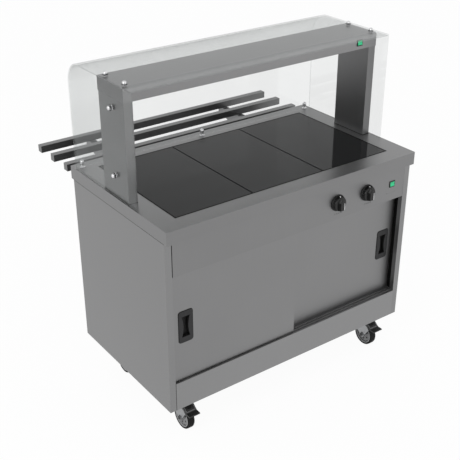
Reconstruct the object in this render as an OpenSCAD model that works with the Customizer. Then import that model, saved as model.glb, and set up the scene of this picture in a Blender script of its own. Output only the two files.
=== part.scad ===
// Hot cupboard servery counter: a stainless cabinet on castors with two sliding doors, a hot top
// of three glass tiles, a heated gantry behind a bent glass screen, and a tubular tray slide.
// Millimetres, +Z up. The staff side, with doors and controls, faces -Y.
// The origin is on the floor, under the middle of the whole counter.

/* [Worktop] */
// Width of the worktop
top_w = 1145; // [900:1:1600]
// Depth of the worktop, without the tray slide
top_d = 672; // [600:1:900]
// Height of the worktop above the floor
top_h = 900; // [800:1:1000]
// Drop of the folded edge
top_lip = 50; // [30:1:70]
// Thickness of the worktop sheet
top_gauge = 1.5; // [1:0.1:2.5]
// Radius of the worktop's corners
top_corner_r = 4; // [3:0.5:12]
// Overhang past each side panel
side_overhang = 2; // [1.7:0.1:15]
// Overhang past the front of the cabinet
front_overhang = 20; // [5:1:40]
// Overhang past the back of the cabinet
rear_overhang = 16; // [5:1:30]

/* [Hot top] */
// Thickness of a glass tile
tile_t = 6; // [4:0.5:8]
// Width of the sealant between and around the tiles
seal_w = 2; // [1:0.5:4]
// Worktop left in front of the tiles
hot_front = 75; // [60:1:78]
// Worktop left behind the tiles
hot_rear = 69; // [62:1:100]
// Worktop left at each side of the tiles
hot_side = 82.5; // [70:0.5:150]
// Width of the ledge under the tiles' edges
ledge_w = 14; // [10:1:20]
// Depth of the insulated tray under the tiles
hot_tray_h = 45; // [30:1:60]
// Width of the tray's ribs under the joints of the tiles
rib_w = 20; // [12:1:30]
// Thickness of a heater mat
mat_t = 3; // [1:0.5:6]
// Clear edge round a heater mat
mat_edge = 24; // [21:1:50]

/* [Cabinet] */
// Thickness of the cabinet's sheets
panel_t = 1.5; // [1:0.1:2]
// Width of the front face of a side panel
return_w = 26; // [20:1:45]
// Depth of the jamb beside the doors
jamb_d = 26; // [20:1:40]
// Width of the rear return of a side panel
rear_return_w = 20; // [10:1:40]
// Height of the front plinth
plinth_h = 117; // [90:1:140]
// Height of the front above the door opening, with the worktop's edge
fascia_h = 188; // [180:1:240]
// Depth of the sill on top of the plinth
sill_d = 8; // [5:1:9]
// Depth of the plinth's bottom return
plinth_return = 25; // [15:1:40]
// Upturn of the base pan's edges
base_upturn = 25; // [10:1:40]
// Gap at each end of the control fascia
fascia_gap = 3; // [1:0.5:5]
// Depth of the return under the control fascia
fascia_return = 6; // [4:0.5:7]
// Air gap between the liner and the back panel
liner_rear_gap = 22; // [15:1:40]
// Height of the shelf above the cupboard floor
shelf_rise = 225; // [150:1:300]
// Width of the pressed shelf ledges
shelf_ledge_w = 14; // [10:1:25]
// Gap in front of the shelf, behind the rear door
shelf_front_gap = 30; // [20:1:80]

/* [Doors] */
// Thickness of a door
door_t = 20; // [16:1:22]
// Thickness of a door's skins
door_skin = 1.2; // [0.8:0.1:2]
// Front door's set-back behind the cabinet front
door_setback = 10; // [9.5:0.5:14]
// Gap between the two doors
door_gap = 6; // [5:0.5:10]
// Overlap of the closed doors
door_overlap = 20; // [10:1:60]
// Gap between a closed door and its jamb
door_end_gap = 1; // [0.5:0.1:3]
// Gap between the sill and a door's foot
door_foot_gap = 6; // [5:0.5:9]
// Height of a door hidden behind the fascia
door_top_lap = 12; // [8:1:14]
// Free height above a door, to lift it out
door_lift_gap = 14; // [10:1:20]
// Thickness of the tracks
track_t = 2; // [1:0.1:3]
// Depth of the bottom track below the sill
track_drop = 8; // [6:0.5:10]
// Height of the bottom track's ribs above the sill
track_rib_h = 3; // [2:0.5:4]
// Thickness of a glide
glide_t = 10; // [8:0.5:12]
// Length of a glide
glide_l = 60; // [30:1:90]
// Inset of the glides from a door's ends
glide_inset = 40; // [20:1:80]
// Clearance of a glide in its track, each side and below
glide_play = 0.3; // [0.3:0.1:1]

/* [Door pulls] */
// Width of a pull
pull_w = 58; // [50:1:70]
// Height of a pull
pull_h = 128; // [100:1:160]
// Corner radius of a pull
pull_r = 9; // [4:1:14]
// Thickness of a pull's flange
pull_flange = 2; // [1.5:0.1:3]
// Width of the finger recess at its ends
recess_w = 34; // [28:1:40]
// Height of the finger recess
recess_h = 84; // [70:1:95]
// Depth of the finger recess
recess_d = 15; // [10:1:15]
// How far each side of the recess bows inwards
recess_pinch = 7; // [3:1:9]
// Wall of the pull's cup
cup_t = 1.6; // [1:0.1:2]
// Pull's middle to the outer edge of its door
pull_inset = 54; // [45:1:80]
// Pull's middle below the middle of its door
pull_drop = 5; // [0:1:100]

/* [Controls] */
// Front face of the right side panel to the first knob
knob_inset = 350.5; // [310:0.5:400]
// Distance between the knobs
knob_pitch = 150; // [110:1:170]
// Height of the knobs below the worktop
knob_drop = 118; // [100:1:130]
// Radius of a knob's skirt
knob_r = 33; // [25:1:38]
// Thickness of a knob's skirt
knob_skirt_t = 18; // [8:0.5:20]
// Height of a knob's grip above its skirt
knob_grip_t = 12; // [8:1:20]
// Width of a knob's grip
knob_grip_w = 18; // [14:1:28]
// Gap between a knob and the fascia
knob_gap = 1; // [1:0.1:2]
// Radius of a knob's spindle
spindle_r = 3; // [2:0.5:4]
// Front face of the right side panel to the fascia switch
switch_inset = 65.5; // [45:0.5:90]
// Width of a switch bezel
switch_w = 28; // [24:1:32]
// Height of a switch bezel
switch_h = 25; // [22:1:28]
// Rest angle of a rocker
rocker_tilt = 7; // [4:0.5:10]

/* [Gantry] */
// Gap between the worktop's edge and the canopy's end
canopy_inset = 8; // [7:0.5:20]
// Front edge of the worktop to the front of the canopy
canopy_front = 250; // [200:1:300]
// Depth of the canopy
canopy_d = 172; // [140:1:220]
// Height of the canopy
canopy_h = 52; // [48:1:70]
// Clear height between worktop and canopy
serving_h = 365; // [300:1:450]
// Radius of the canopy's front top edge
canopy_r = 10; // [6:1:18]
// Canopy's end to the middle of the gantry switch
gantry_switch_inset = 87; // [60:1:140]
// Width of an upright's front face
upright_w = 34; // [25:1:60]
// Width of the canopy's bottom returns
canopy_return = 10; // [6:1:15]
// Gap between a lamp's outer end and the end of the reflector
lamp_end_gap = 16; // [8:1:60]
// Radius of a quartz lamp
lamp_r = 5; // [4:0.5:7]
// Width of the gap between the two lamps
lamp_gap = 60; // [40:1:120]

/* [Glass screen] */
// Thickness of the glass
glass_t = 6; // [5:0.5:7]
// Front edge of the worktop to the front edge of the glass
glass_front = 189; // [150:1:199]
// Worktop left behind the customer side of the glass
glass_rear = 38; // [28:1:52]
// Outer radius of the bend
glass_bend_r = 88; // [60:1:110]
// Radius of a domed fixing
dome_r = 8; // [6.5:0.5:10]
// Height of a domed fixing
dome_h = 12; // [8:0.5:14]
// Radius of a fixing's stud
stud_r = 3; // [2:0.5:4]
// Inset of the top fixings from the canopy's ends
top_fixing_x = 17; // [13:1:30]
// Inset of the rear top fixings from the canopy's back
top_fixing_rear = 30; // [14:1:50]
// Height of the lower side fixings above the worktop
side_fixing_low = 84; // [60:1:120]
// Height of the upper side fixings above the worktop
side_fixing_high = 330; // [250:1:350]
// Height of a clamp post
clamp_h = 30; // [20:1:60]
// Radius of a clamp post
clamp_r = 8; // [7:0.5:11]
// Inset of the end clamp posts from the worktop's sides
clamp_inset = 30; // [26:1:80]
// Worktop left under the foot of the customer side glass
glass_foot = 3; // [2:0.5:6]

/* [Tray slide] */
// Side of a square rail
rail_s = 28; // [20:1:40]
// Wall of a rail
rail_wall = 1.5; // [1:0.1:3]
// Inset of the rails' ends from the worktop's sides
rail_inset = 8; // [0:1:60]
// Distance from one rail to the next
rail_pitch = 112; // [80:1:130]
// Gap between the worktop and the nearest rail
rail_gap = 46; // [40:1:80]
// Depth of the rails' top below the worktop
rail_drop = 15; // [5:1:30]
// Cabinet's side to the middle of a tray bracket
bracket_inset = 233.5; // [60:0.5:300]
// Width of a tray bracket
bracket_w = 28; // [22:1:50]
// Sheet of a tray bracket
bracket_t = 3; // [2:0.5:4]
// Depth of a bracket's outer end
bracket_tip_h = 22; // [16:1:40]
// Depth of a bracket at the cabinet
bracket_root_h = 110; // [80:1:160]
// Gap between a bracket and the worktop's folded edge
bracket_gap = 5; // [3:1:10]
// Margin of a bracket's back plate
bracket_plate_edge = 14; // [10:1:30]

/* [Castors] */
// Height of the cabinet's underside above the floor
castor_h = 152; // [145:1:165]
// Radius of a wheel
wheel_r = 50; // [40:1:52]
// Width of a tyre
tyre_w = 30; // [24:1:33]
// Thickness of the tread
tread_t = 8; // [6:1:16]
// Axle's offset from the swivel
castor_trail = 35; // [25:1:45]
// Distance from the cabinet's sides to the swivels
castor_side_inset = 100.5; // [80:0.5:150]
// Distance from the cabinet's front or back to the swivels
castor_end_inset = 101; // [95:1:150]
// Inner width of a fork
fork_gap = 36; // [34:1:44]
// Thickness of a fork's legs and crown
fork_t = 3; // [2:0.5:4]
// Radius of an axle
axle_r = 5; // [4:0.5:6]
// Width of a castor plate
plate_w = 90; // [80:1:110]
// Depth of a castor plate
plate_d = 76; // [76:1:90]
// Thickness of a castor plate
plate_t = 3; // [2:0.5:5]

/* [Hidden] */

$fn = 48;
// Overrun of every cut
over = 5;
// Running fit between a shaft and its hole
fit = 0.05;

// Colours
steel = "#8c8c8c";
bright = "#c8c8c8";
black = "#202020";
dark_glass = "#303236";
clear_glass = "#dce4e4";
green = "#32d68f";
zinc = "#9aa0a0";
nylon = "#e8e6dc";

// Depth of the whole counter and the worktop's place in it
knob_proud = knob_gap + knob_skirt_t + knob_grip_t;
front_reach = max(knob_proud - front_overhang, 0);
tray_reach = rail_gap + 2 * rail_pitch + rail_s;
top_y0 = front_reach - (front_reach + top_d + tray_reach) / 2;
top_y1 = top_y0 + top_d;
top_x = top_w / 2;

// Cabinet faces
cab_x = top_x - side_overhang;
cab_y0 = top_y0 + front_overhang;
cab_y1 = top_y1 - rear_overhang;
cab_z0 = castor_h;
cab_z1 = top_h - top_gauge;
open_x = cab_x - return_w;
plinth_z1 = cab_z0 + plinth_h;
open_z1 = top_h - fascia_h;
back_y = cab_y1 - 2 * panel_t;
pan_z0 = cab_z0 + panel_t;

// Door planes and heights
door_y0 = cab_y0 + door_setback;
door_y1 = door_y0 + door_t;
rear_door_y0 = door_y1 + door_gap;
rear_door_y1 = rear_door_y0 + door_t;
door_z0 = plinth_z1 + door_foot_gap;
door_z1 = open_z1 + door_top_lap;
door_w = open_x - door_end_gap + door_overlap / 2;
left_door_x0 = door_end_gap - open_x;
right_door_x0 = open_x - door_end_gap - door_w;
left_pull_x = left_door_x0 + pull_inset;
right_pull_x = right_door_x0 + door_w - pull_inset;
pull_z = (door_z0 + door_z1) / 2 - pull_drop;
track_z0 = plinth_z1 - track_drop;
track_y0 = cab_y0 + sill_d;
track_y1 = rear_door_y1 + 2 * track_t;
top_track_z1 = door_z1 + door_lift_gap + track_t;
top_track_play = track_t;
top_track_fin_z0 = open_z1 + track_t;
top_track_y0 = door_y0 - 2 * top_track_play;

// Liner
liner_x = open_x + panel_t;
liner_y1 = back_y - liner_rear_gap;
liner_z0 = track_z0;
liner_z1 = top_track_z1;
liner_side_y0 = cab_y0 + jamb_d / 2;
shelf_z = liner_z0 + shelf_rise;
shelf_y0 = rear_door_y1 + shelf_front_gap;
shelf_play = 1;

// Element under the cupboard and the mains gland beside it
element_r = 4;
element_drop = 14;
element_x_share = 0.8;
element_bend_r = 90;
clip_w = 12;
gland_inset = 140;
gland_rise = 45;
gland_x = cab_x - gland_inset;
gland_z = pan_z0 + gland_rise;
gland_r = 8;
gland_nut_r = 13;
gland_nut_t = 4;
gland_l = 22;
gland_bore_r = 5;

// Hot top
hot_x = top_x - hot_side;
hot_y0 = top_y0 + hot_front;
hot_y1 = top_y1 - hot_rear;
tile_w = (2 * hot_x - 4 * seal_w) / 3;
tile_z0 = top_h - tile_t;
ledge_z0 = tile_z0 - top_gauge;
tile_pitch = tile_w + seal_w;

// Controls
knob_z = top_h - knob_drop;
knob_places = [open_x - knob_inset, open_x - knob_inset + knob_pitch];
switch_x = open_x - switch_inset;
bush_r = 5;
bush_nut_r = 8;
bush_nut_t = 0.6;
thermostat_s = 46;
thermostat_d = 34;
spindle_flat = spindle_r / 2;
spindle_depth = thermostat_d / 2;
knob_top_r_share = 0.84;
knob_grip_top_share = 0.38;
knob_grip_foot_share = 0.7;
bezel_t = 2;
bezel_rim = 3;
switch_body_d = 24;
rocker_play = 0.4;
rocker_d = 7;
rocker_arc_r = switch_h;
rocker_pin_r = 1.5;
rocker_pin_depth = 1;

// Gantry
canopy_x = top_x - canopy_inset;
canopy_y0 = top_y0 + canopy_front;
canopy_y1 = canopy_y0 + canopy_d;
canopy_z0 = top_h + serving_h;
canopy_z1 = canopy_z0 + canopy_h;
upright_x1 = canopy_x - panel_t;
upright_x0 = upright_x1 - upright_w;
upright_y0 = canopy_y0 + panel_t;
upright_y1 = canopy_y1 - panel_t;
upright_z1 = canopy_z1 - canopy_r;
gantry_switch_x = canopy_x - gantry_switch_inset;
gantry_switch_z = (canopy_z0 + canopy_z1) / 2;
reflector_t = 1;
reflector_x = gantry_switch_x - switch_w;
reflector_flat_share = 0.36;
reflector_z1 = canopy_z1 - 2 * canopy_return;
reflector_z0 = canopy_z0 + canopy_return;
lamp_y = (canopy_y0 + canopy_y1) / 2;
lamp_z = canopy_z0 + 3 * lamp_r;
lamp_l = reflector_x - lamp_end_gap - lamp_gap / 2;
lamp_cap_r = 1.6 * lamp_r;
lamp_cap_l = 3 * lamp_r;
holder_t = 2.4 * lamp_r;
holder_w = 5 * lamp_r;

// Glass screen
glass_x = canopy_x + glass_t;
glass_y0 = top_y0 + glass_front;
glass_y1 = top_y1 - glass_rear;
glass_z0 = top_h + glass_foot;
glass_z1 = canopy_z1 + glass_t;
side_fixing_y = (canopy_y0 + canopy_y1) / 2 - canopy_d / 25;
stud_hole_r = stud_r + 1;
nut_r = 1.9 * stud_r;
nut_t = 2 * stud_r;
clamp_places = [-top_x + clamp_inset, 0, top_x - clamp_inset];
clamp_slot_play = 0.1;
clamp_foot_r = 1.3 * clamp_r;
clamp_foot_t = glass_foot;

// Tray slide
rail_z1 = top_h - rail_drop;
rail_z0 = rail_z1 - rail_s;
rail_y0 = top_y1 + rail_gap;
rail_x = top_x - rail_inset;
bracket_y1 = rail_y0 + 2 * rail_pitch + rail_s;
bracket_step_y = top_y1 + bracket_gap;
bracket_neck_z = top_h - top_lip - bracket_gap;
bracket_y0 = back_y + panel_t;
bracket_x = cab_x - bracket_inset;

// Castors
castor_x = cab_x - castor_side_inset;
castor_yf = cab_y0 + castor_end_inset;
castor_yr = cab_y1 - castor_end_inset;
race_r = 24;
race_h = 9;
crown_r = 26;
race_gap = 0.4;
crown_z1 = pan_z0 - plate_t - race_h - race_gap;
crown_z0 = crown_z1 - fork_t;
kingpin_r = 5;
kingpin_head_r = 8;
kingpin_head_t = 3;
leg_x0 = fork_gap / 2;
leg_x1 = leg_x0 + fork_t;
leg_top_l = 24;
leg_heel_z = 1.5 * wheel_r;
leg_nose_y = 73;
leg_nose_drop = 49;
axle_boss_r = 12;
axle_head_r = 9;
axle_head_t = 4;
hub_r = wheel_r - tread_t;
hub_w = tyre_w - 4;
hub_barrel_r = 13;
hub_barrel_w = fork_gap - 1;
hub_web_t = 16;
hub_rim_t = 5;
bolt_head_r = 6.5;
bolt_head_t = 4;
bolt_inset = 9;
pedal_w = 47;
pedal_t = 5;
pedal_pin_r = 3;
pedal_pin_y = 33;
pedal_pin_drop = 18;
pedal_cheek_r = 9;
pedal_knee_y = 85;
pedal_knee_drop = 44;
pedal_toe_y = 107;
pedal_pin_z = crown_z0 - pedal_pin_drop;

// A box between two corners
module block(low, high) {
    translate(low) cube(high - low);
}

// A YZ outline drawn along X
module along_x(x0, x1) {
    translate([x0, 0, 0]) rotate([90, 0, 90]) linear_extrude(x1 - x0) children();
}

// An XZ outline drawn along Y
module along_y(y0, y1) {
    translate([0, y1, 0]) rotate([90, 0, 0]) linear_extrude(y1 - y0) children();
}

// Its children and their mirror image across the middle of the counter
module both_sides() {
    children();
    mirror([1, 0, 0]) children();
}

// A rectangle with round corners, between two corners
module rounded(low, high, r) {
    translate([low.x + r, low.y]) square([high.x - low.x - 2 * r, high.y - low.y]);
    translate([low.x, low.y + r]) square([high.x - low.x, high.y - low.y - 2 * r]);
    for (x = [low.x + r, high.x - r], y = [low.y + r, high.y - r]) translate([x, y]) circle(r);
}

// A rod along X between two places
module rod_x(x0, x1, r) {
    translate([x0, 0, 0]) rotate([0, 90, 0]) cylinder(h = x1 - x0, r = r);
}

// A rod along Y between two places
module rod_y(y0, y1, r) {
    translate([0, y1, 0]) rotate([90, 0, 0]) cylinder(h = y1 - y0, r = r);
}

// Outline of a side panel seen from above: outer sheet, front face, jamb and rear return
module side_outline() {
    x0 = cab_x - panel_t;
    translate([x0, cab_y0]) square([panel_t, cab_y1 - cab_y0]);
    translate([open_x, cab_y0]) square([return_w, panel_t]);
    translate([open_x, cab_y0]) square([panel_t, jamb_d]);
    translate([cab_x - rear_return_w, cab_y1 - panel_t]) square([rear_return_w, panel_t]);
}

module right_side_panel() {
    color(steel) translate([0, 0, cab_z0]) linear_extrude(cab_z1 - cab_z0) side_outline();
}

module left_side_panel() {
    mirror([1, 0, 0]) right_side_panel();
}

module back_panel() {
    x = cab_x - panel_t;
    color(steel) difference() {
        block([-x, back_y, cab_z0], [x, back_y + panel_t, cab_z1]);
        translate([gland_x, 0, gland_z]) rod_y(back_y - over, back_y + over, gland_r + fit);
    }
}

// Bottom of the cabinet, with its edges turned up
module base_pan() {
    x = cab_x - panel_t;
    y0 = cab_y0 + panel_t;
    color(steel) difference() {
        block([-x, y0, pan_z0], [x, back_y, pan_z0 + base_upturn]);
        block([-x + panel_t, y0 + panel_t, pan_z0 + panel_t],
              [x - panel_t, back_y - panel_t, pan_z0 + base_upturn + over]);
        both_sides() block([open_x, y0 - over, pan_z0 - over],
                           [x + over, cab_y0 + jamb_d, pan_z0 + base_upturn + over]);
    }
}

// Front panel under the doors: face, sill, sill upstand and bottom return
module front_plinth() {
    color(steel) along_x(-open_x, open_x) {
        translate([cab_y0, cab_z0]) square([panel_t, plinth_h]);
        translate([cab_y0, plinth_z1 - panel_t]) square([sill_d, panel_t]);
        translate([cab_y0 + sill_d - panel_t, liner_z0]) square([panel_t, plinth_z1 - liner_z0]);
        translate([cab_y0, cab_z0]) square([plinth_return, panel_t]);
    }
}

// Inner cupboard, open at the front, with pressed ledges for the shelf
module cupboard_liner() {
    x = liner_x + panel_t;
    jamb_y1 = cab_y0 + jamb_d;
    ledge_y1 = liner_y1 - panel_t;
    color(bright) {
        block([-open_x, cab_y0 + panel_t, liner_z0 - panel_t], [open_x, jamb_y1, liner_z0]);
        block([-x, jamb_y1, liner_z0 - panel_t], [x, liner_y1, liner_z0]);
        block([-open_x, liner_side_y0, liner_z1], [open_x, jamb_y1, liner_z1 + panel_t]);
        block([-x, jamb_y1, liner_z1], [x, liner_y1, liner_z1 + panel_t]);
        block([-x, liner_y1 - panel_t, liner_z0], [x, liner_y1, liner_z1]);
        both_sides() {
            block([liner_x, liner_side_y0, liner_z0], [x, liner_y1, liner_z1]);
            block([liner_x - shelf_ledge_w, shelf_y0, shelf_z - panel_t], [liner_x, ledge_y1, shelf_z]);
        }
    }
}

// Removable shelf with its front edge turned down
module shelf() {
    x = liner_x - shelf_play;
    y1 = liner_y1 - panel_t - shelf_play;
    lip = shelf_ledge_w;
    color(bright) {
        block([-x, shelf_y0, shelf_z], [x, y1, shelf_z + panel_t]);
        block([-x, shelf_y0 - panel_t, shelf_z - lip], [x, shelf_y0, shelf_z + panel_t]);
    }
}

// Bottom track: a base strip with a pair of ribs beside each door's glides
module bottom_track() {
    groove = glide_t + 2 * glide_play;
    color(bright) along_x(-open_x, open_x) {
        translate([track_y0, track_z0]) square([track_y1 - track_y0, track_t]);
        for (y = [door_y0, rear_door_y0], side = [-1, 1]) {
            translate([y + door_t / 2 + side * (groove + track_t) / 2 - track_t / 2, track_z0])
                square([track_t, track_drop + track_rib_h]);
        }
    }
}

// Top track: an upside-down channel of three fins that the doors' heads run in
module top_track() {
    z0 = top_track_fin_z0;
    height = top_track_z1 - z0;
    mid_y = (door_y1 + rear_door_y0) / 2;
    end_y = rear_door_y1 + top_track_play;
    color(bright) along_x(-open_x, open_x) {
        translate([top_track_y0, top_track_z1 - track_t]) square([end_y + track_t - top_track_y0, track_t]);
        for (y = [top_track_y0, mid_y - track_t / 2, end_y]) {
            translate([y, z0]) square([track_t, height]);
        }
    }
}

// Control panel with holes for the thermostats' bushes and the switch
module control_fascia() {
    x = open_x - fascia_gap;
    color(steel) difference() {
        union() {
            block([-x, cab_y0, open_z1], [x, cab_y0 + panel_t, cab_z1]);
            block([-x, cab_y0, open_z1], [x, cab_y0 + panel_t + fascia_return, open_z1 + panel_t]);
        }
        for (place = knob_places) {
            translate([place, 0, knob_z]) rod_y(cab_y0 - over, cab_y0 + over, bush_r + fit);
        }
        at_fascia_switch() switch_hole();
    }
}

// Worktop: flat sheet, folded edge, and the sunk ledge under the tiles
module worktop() {
    z0 = top_h - top_lip;
    x = top_x - top_gauge;
    color(steel) {
        difference() {
            translate([0, 0, z0]) linear_extrude(top_lip)
                rounded([-top_x, top_y0], [top_x, top_y1], top_corner_r);
            translate([0, 0, z0 - over]) linear_extrude(top_lip - top_gauge + over)
                rounded([-x, top_y0 + top_gauge], [x, top_y1 - top_gauge], top_corner_r - top_gauge);
            block([-hot_x, hot_y0, z0], [hot_x, hot_y1, top_h + over]);
        }
        difference() {
            block([-hot_x - top_gauge, hot_y0 - top_gauge, ledge_z0],
                  [hot_x + top_gauge, hot_y1 + top_gauge, top_h - top_gauge]);
            block([-hot_x, hot_y0, tile_z0], [hot_x, hot_y1, top_h]);
            block([ledge_w - hot_x, hot_y0 + ledge_w, ledge_z0 - over],
                  [hot_x - ledge_w, hot_y1 - ledge_w, top_h]);
        }
    }
}

// One glass tile; place is -1, 0 or 1 from left to right
module hot_tile(place) {
    color(dark_glass) block([place * tile_pitch - tile_w / 2, hot_y0 + seal_w, tile_z0],
                            [place * tile_pitch + tile_w / 2, hot_y1 - seal_w, top_h]);
}

module hot_glass_left() {
    hot_tile(-1);
}

module hot_glass_centre() {
    hot_tile(0);
}

module hot_glass_right() {
    hot_tile(1);
}

// Sealant round and between the tiles
module glass_seal() {
    color(black) difference() {
        block([-hot_x, hot_y0, tile_z0], [hot_x, hot_y1, top_h]);
        for (place = [-1, 0, 1]) {
            block([place * tile_pitch - tile_w / 2, hot_y0 + seal_w, tile_z0 - over],
                  [place * tile_pitch + tile_w / 2, hot_y1 - seal_w, top_h + over]);
        }
    }
}

// A flat heater under each tile
module heater_mats() {
    color("#b06a3c") for (place = [-1, 0, 1]) {
        block([place * tile_pitch - tile_w / 2 + mat_edge, hot_y0 + seal_w + mat_edge, tile_z0 - mat_t],
              [place * tile_pitch + tile_w / 2 - mat_edge, hot_y1 - seal_w - mat_edge, tile_z0]);
    }
}

// Insulated tray under the heaters, with a rib under each joint of the tiles
module hot_top_tray() {
    z0 = ledge_z0 - hot_tray_h;
    color(bright) {
        difference() {
            block([-hot_x, hot_y0, z0], [hot_x, hot_y1, ledge_z0]);
            block([panel_t - hot_x, hot_y0 + panel_t, z0 + panel_t],
                  [hot_x - panel_t, hot_y1 - panel_t, top_h]);
        }
        for (side = [-1, 1]) {
            block([side * tile_pitch / 2 - rib_w / 2, hot_y0 + ledge_w, z0],
                  [side * tile_pitch / 2 + rib_w / 2, hot_y1 - ledge_w, tile_z0]);
        }
    }
}

// Tubular element: a long hairpin under the cupboard floor, held by clips
module cupboard_element() {
    x = liner_x * element_x_share;
    yc = (cab_y0 + back_y) / 2;
    z = liner_z0 - panel_t - element_drop;
    color("#6a5a50") {
        for (side = [-1, 1]) translate([0, yc + side * element_bend_r, z]) rod_x(-x, x, element_r);
        translate([x, yc, z]) rotate([0, 0, -90]) rotate_extrude(angle = 180)
            translate([element_bend_r, 0]) circle(element_r);
        for (clip = [-1, 0, 1], side = [-1, 1]) {
            y = yc + side * element_bend_r;
            block([clip * x * element_x_share - clip_w / 2, y - element_r - panel_t, z],
                  [clip * x * element_x_share + clip_w / 2, y + element_r + panel_t, liner_z0 - panel_t]);
        }
    }
}

// Mains gland in the back panel: body, flange and domed nut round a clear bore
module mains_gland() {
    y = back_y + panel_t;
    color(black) translate([gland_x, 0, gland_z]) difference() {
        union() {
            rod_y(back_y - gland_l / 2, y + gland_l, gland_r);
            rod_y(y, y + gland_nut_t, gland_nut_r);
            translate([0, y + gland_l, 0]) rotate([90, 0, 0])
                cylinder(h = gland_l - gland_nut_t, r1 = gland_r, r2 = gland_nut_r - panel_t);
            translate([0, back_y, 0]) rotate([90, 0, 0]) cylinder(h = gland_nut_t, r = gland_nut_r, $fn = 6);
        }
        rod_y(back_y - gland_l, y + gland_l + over, gland_bore_r);
    }
}

// Knob turned about Y, with its spindle; drawn round the origin with the fascia's face at y = 0
module knob_shape() {
    skirt_y = -knob_gap;
    top_y = skirt_y - knob_skirt_t - knob_grip_t;
    grip_r = knob_r * knob_top_r_share;
    x = knob_grip_w / 2;
    color(black) {
        translate([0, skirt_y, 0]) rotate([90, 0, 0]) cylinder(h = knob_skirt_t, r1 = knob_r, r2 = grip_r);
        intersection() {
            rod_y(top_y, skirt_y, grip_r);
            along_x(-x, x) polygon([
                [skirt_y, -knob_r], [top_y, -knob_r * knob_grip_foot_share],
                [top_y, knob_r * knob_grip_top_share], [skirt_y, knob_r]
            ]);
        }
    }
    color(zinc) difference() {
        rod_y(skirt_y, spindle_depth, spindle_r);
        block([-spindle_r, knob_gap, spindle_flat], [spindle_r, spindle_depth + over, spindle_r + over]);
    }
}

module hot_top_knob() {
    translate([knob_places[0], cab_y0, knob_z]) knob_shape();
}

module cupboard_knob() {
    translate([knob_places[1], cab_y0, knob_z]) knob_shape();
}

// Thermostats behind the knobs: a body against the fascia and a bush through it, round the spindle
module thermostats() {
    y = cab_y0 + panel_t;
    half = thermostat_s / 2;
    color(zinc) for (place = knob_places) translate([place, 0, knob_z]) difference() {
        union() {
            block([-half, y, -half], [half, y + thermostat_d, half]);
            rod_y(cab_y0, y, bush_r);
            rod_y(cab_y0 - bush_nut_t, cab_y0, bush_nut_r);
        }
        rod_y(cab_y0 - over, cab_y0 + spindle_depth + knob_gap, spindle_r + fit);
    }
}

// Cut-out for a switch body, round the origin, through a front sheet that starts at y = 0
module switch_hole() {
    x = switch_w / 2 - bezel_rim / 2;
    z = switch_h / 2 - bezel_rim / 2;
    block([-x, -over, -z], [x, over, z]);
}

// Switch body with its bezel, open in the middle for the rocker
module switch_body_shape() {
    x = switch_w / 2;
    z = switch_h / 2;
    body_x = x - bezel_rim / 2;
    body_z = z - bezel_rim / 2;
    color(black) difference() {
        union() {
            block([-x, -bezel_t, -z], [x, 0, z]);
            block([-body_x, 0, -body_z], [body_x, switch_body_d, body_z]);
        }
        block([bezel_rim - x, -over, bezel_rim - z], [x - bezel_rim, rocker_d + bezel_t, z - bezel_rim]);
        rod_x(bezel_rim - x - rocker_pin_depth, x - bezel_rim + rocker_pin_depth, rocker_pin_r + fit);
    }
}

// Where each switch sits
module at_fascia_switch() {
    translate([switch_x, cab_y0, knob_z]) children();
}

module at_gantry_switch() {
    translate([gantry_switch_x, canopy_y0, gantry_switch_z]) children();
}

module switch_bodies() {
    at_fascia_switch() switch_body_shape();
    at_gantry_switch() switch_body_shape();
}

// Rocker on two pins, drawn at its rest angle
module rocker_shape() {
    x = switch_w / 2 - bezel_rim - rocker_play;
    z = switch_h / 2 - bezel_rim - rocker_play;
    reach = x + rocker_pin_depth;
    color(green) rotate([-rocker_tilt, 0, 0]) {
        along_x(-x, x) intersection() {
            difference() {
                translate([-rocker_d / 2, -z]) square([rocker_d, 2 * z]);
                translate([-rocker_d / 2 - rocker_arc_r + bezel_t / 2, 0]) circle(rocker_arc_r);
            }
            circle(z);
        }
        rod_x(-reach, reach, rocker_pin_r);
    }
}

module fascia_rocker() {
    at_fascia_switch() rocker_shape();
}

module gantry_rocker() {
    at_gantry_switch() rocker_shape();
}

// Outline of the finger recess seen from the front: a rectangle whose long sides bow inwards
module recess_outline() {
    bow_r = (recess_h * recess_h / 4 + recess_pinch * recess_pinch) / (2 * recess_pinch);
    bow_x = recess_w / 2 - recess_pinch + bow_r;
    difference() {
        square([recess_w, recess_h], center = true);
        for (side = [-1, 1]) translate([side * bow_x, 0]) circle(bow_r, $fn = 96);
    }
}

// Double-skinned door, hollow, with a hole in its front for the pull
module door(x0, y0, pull_x) {
    cup_x = recess_w / 2 + cup_t;
    cup_z = recess_h / 2 + cup_t;
    color(steel) difference() {
        block([x0, y0, door_z0], [x0 + door_w, y0 + door_t, door_z1]);
        block([x0 + door_skin, y0 + door_skin, door_z0 + door_skin],
              [x0 + door_w - door_skin, y0 + door_t - door_skin, door_z1 - door_skin]);
        block([pull_x - cup_x, y0 - over, pull_z - cup_z], [pull_x + cup_x, y0 + over, pull_z + cup_z]);
    }
}

module left_door() {
    door(left_door_x0, door_y0, left_pull_x);
}

module right_door() {
    door(right_door_x0, rear_door_y0, right_pull_x);
}

// Pull: a flange on the door's face and a cup behind it
module pull(x, y0) {
    cup_x = recess_w / 2 + cup_t;
    cup_z = recess_h / 2 + cup_t;
    cup_y1 = recess_d + cup_t;
    color(black) translate([x, y0, pull_z]) difference() {
        union() {
            along_y(-pull_flange, 0) rounded([-pull_w / 2, -pull_h / 2], [pull_w / 2, pull_h / 2], pull_r);
            block([-cup_x, 0, -cup_z], [cup_x, cup_y1, cup_z]);
        }
        along_y(-pull_flange - over, recess_d) recess_outline();
    }
}

module left_door_pull() {
    pull(left_pull_x, door_y0);
}

module right_door_pull() {
    pull(right_pull_x, rear_door_y0);
}

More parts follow.
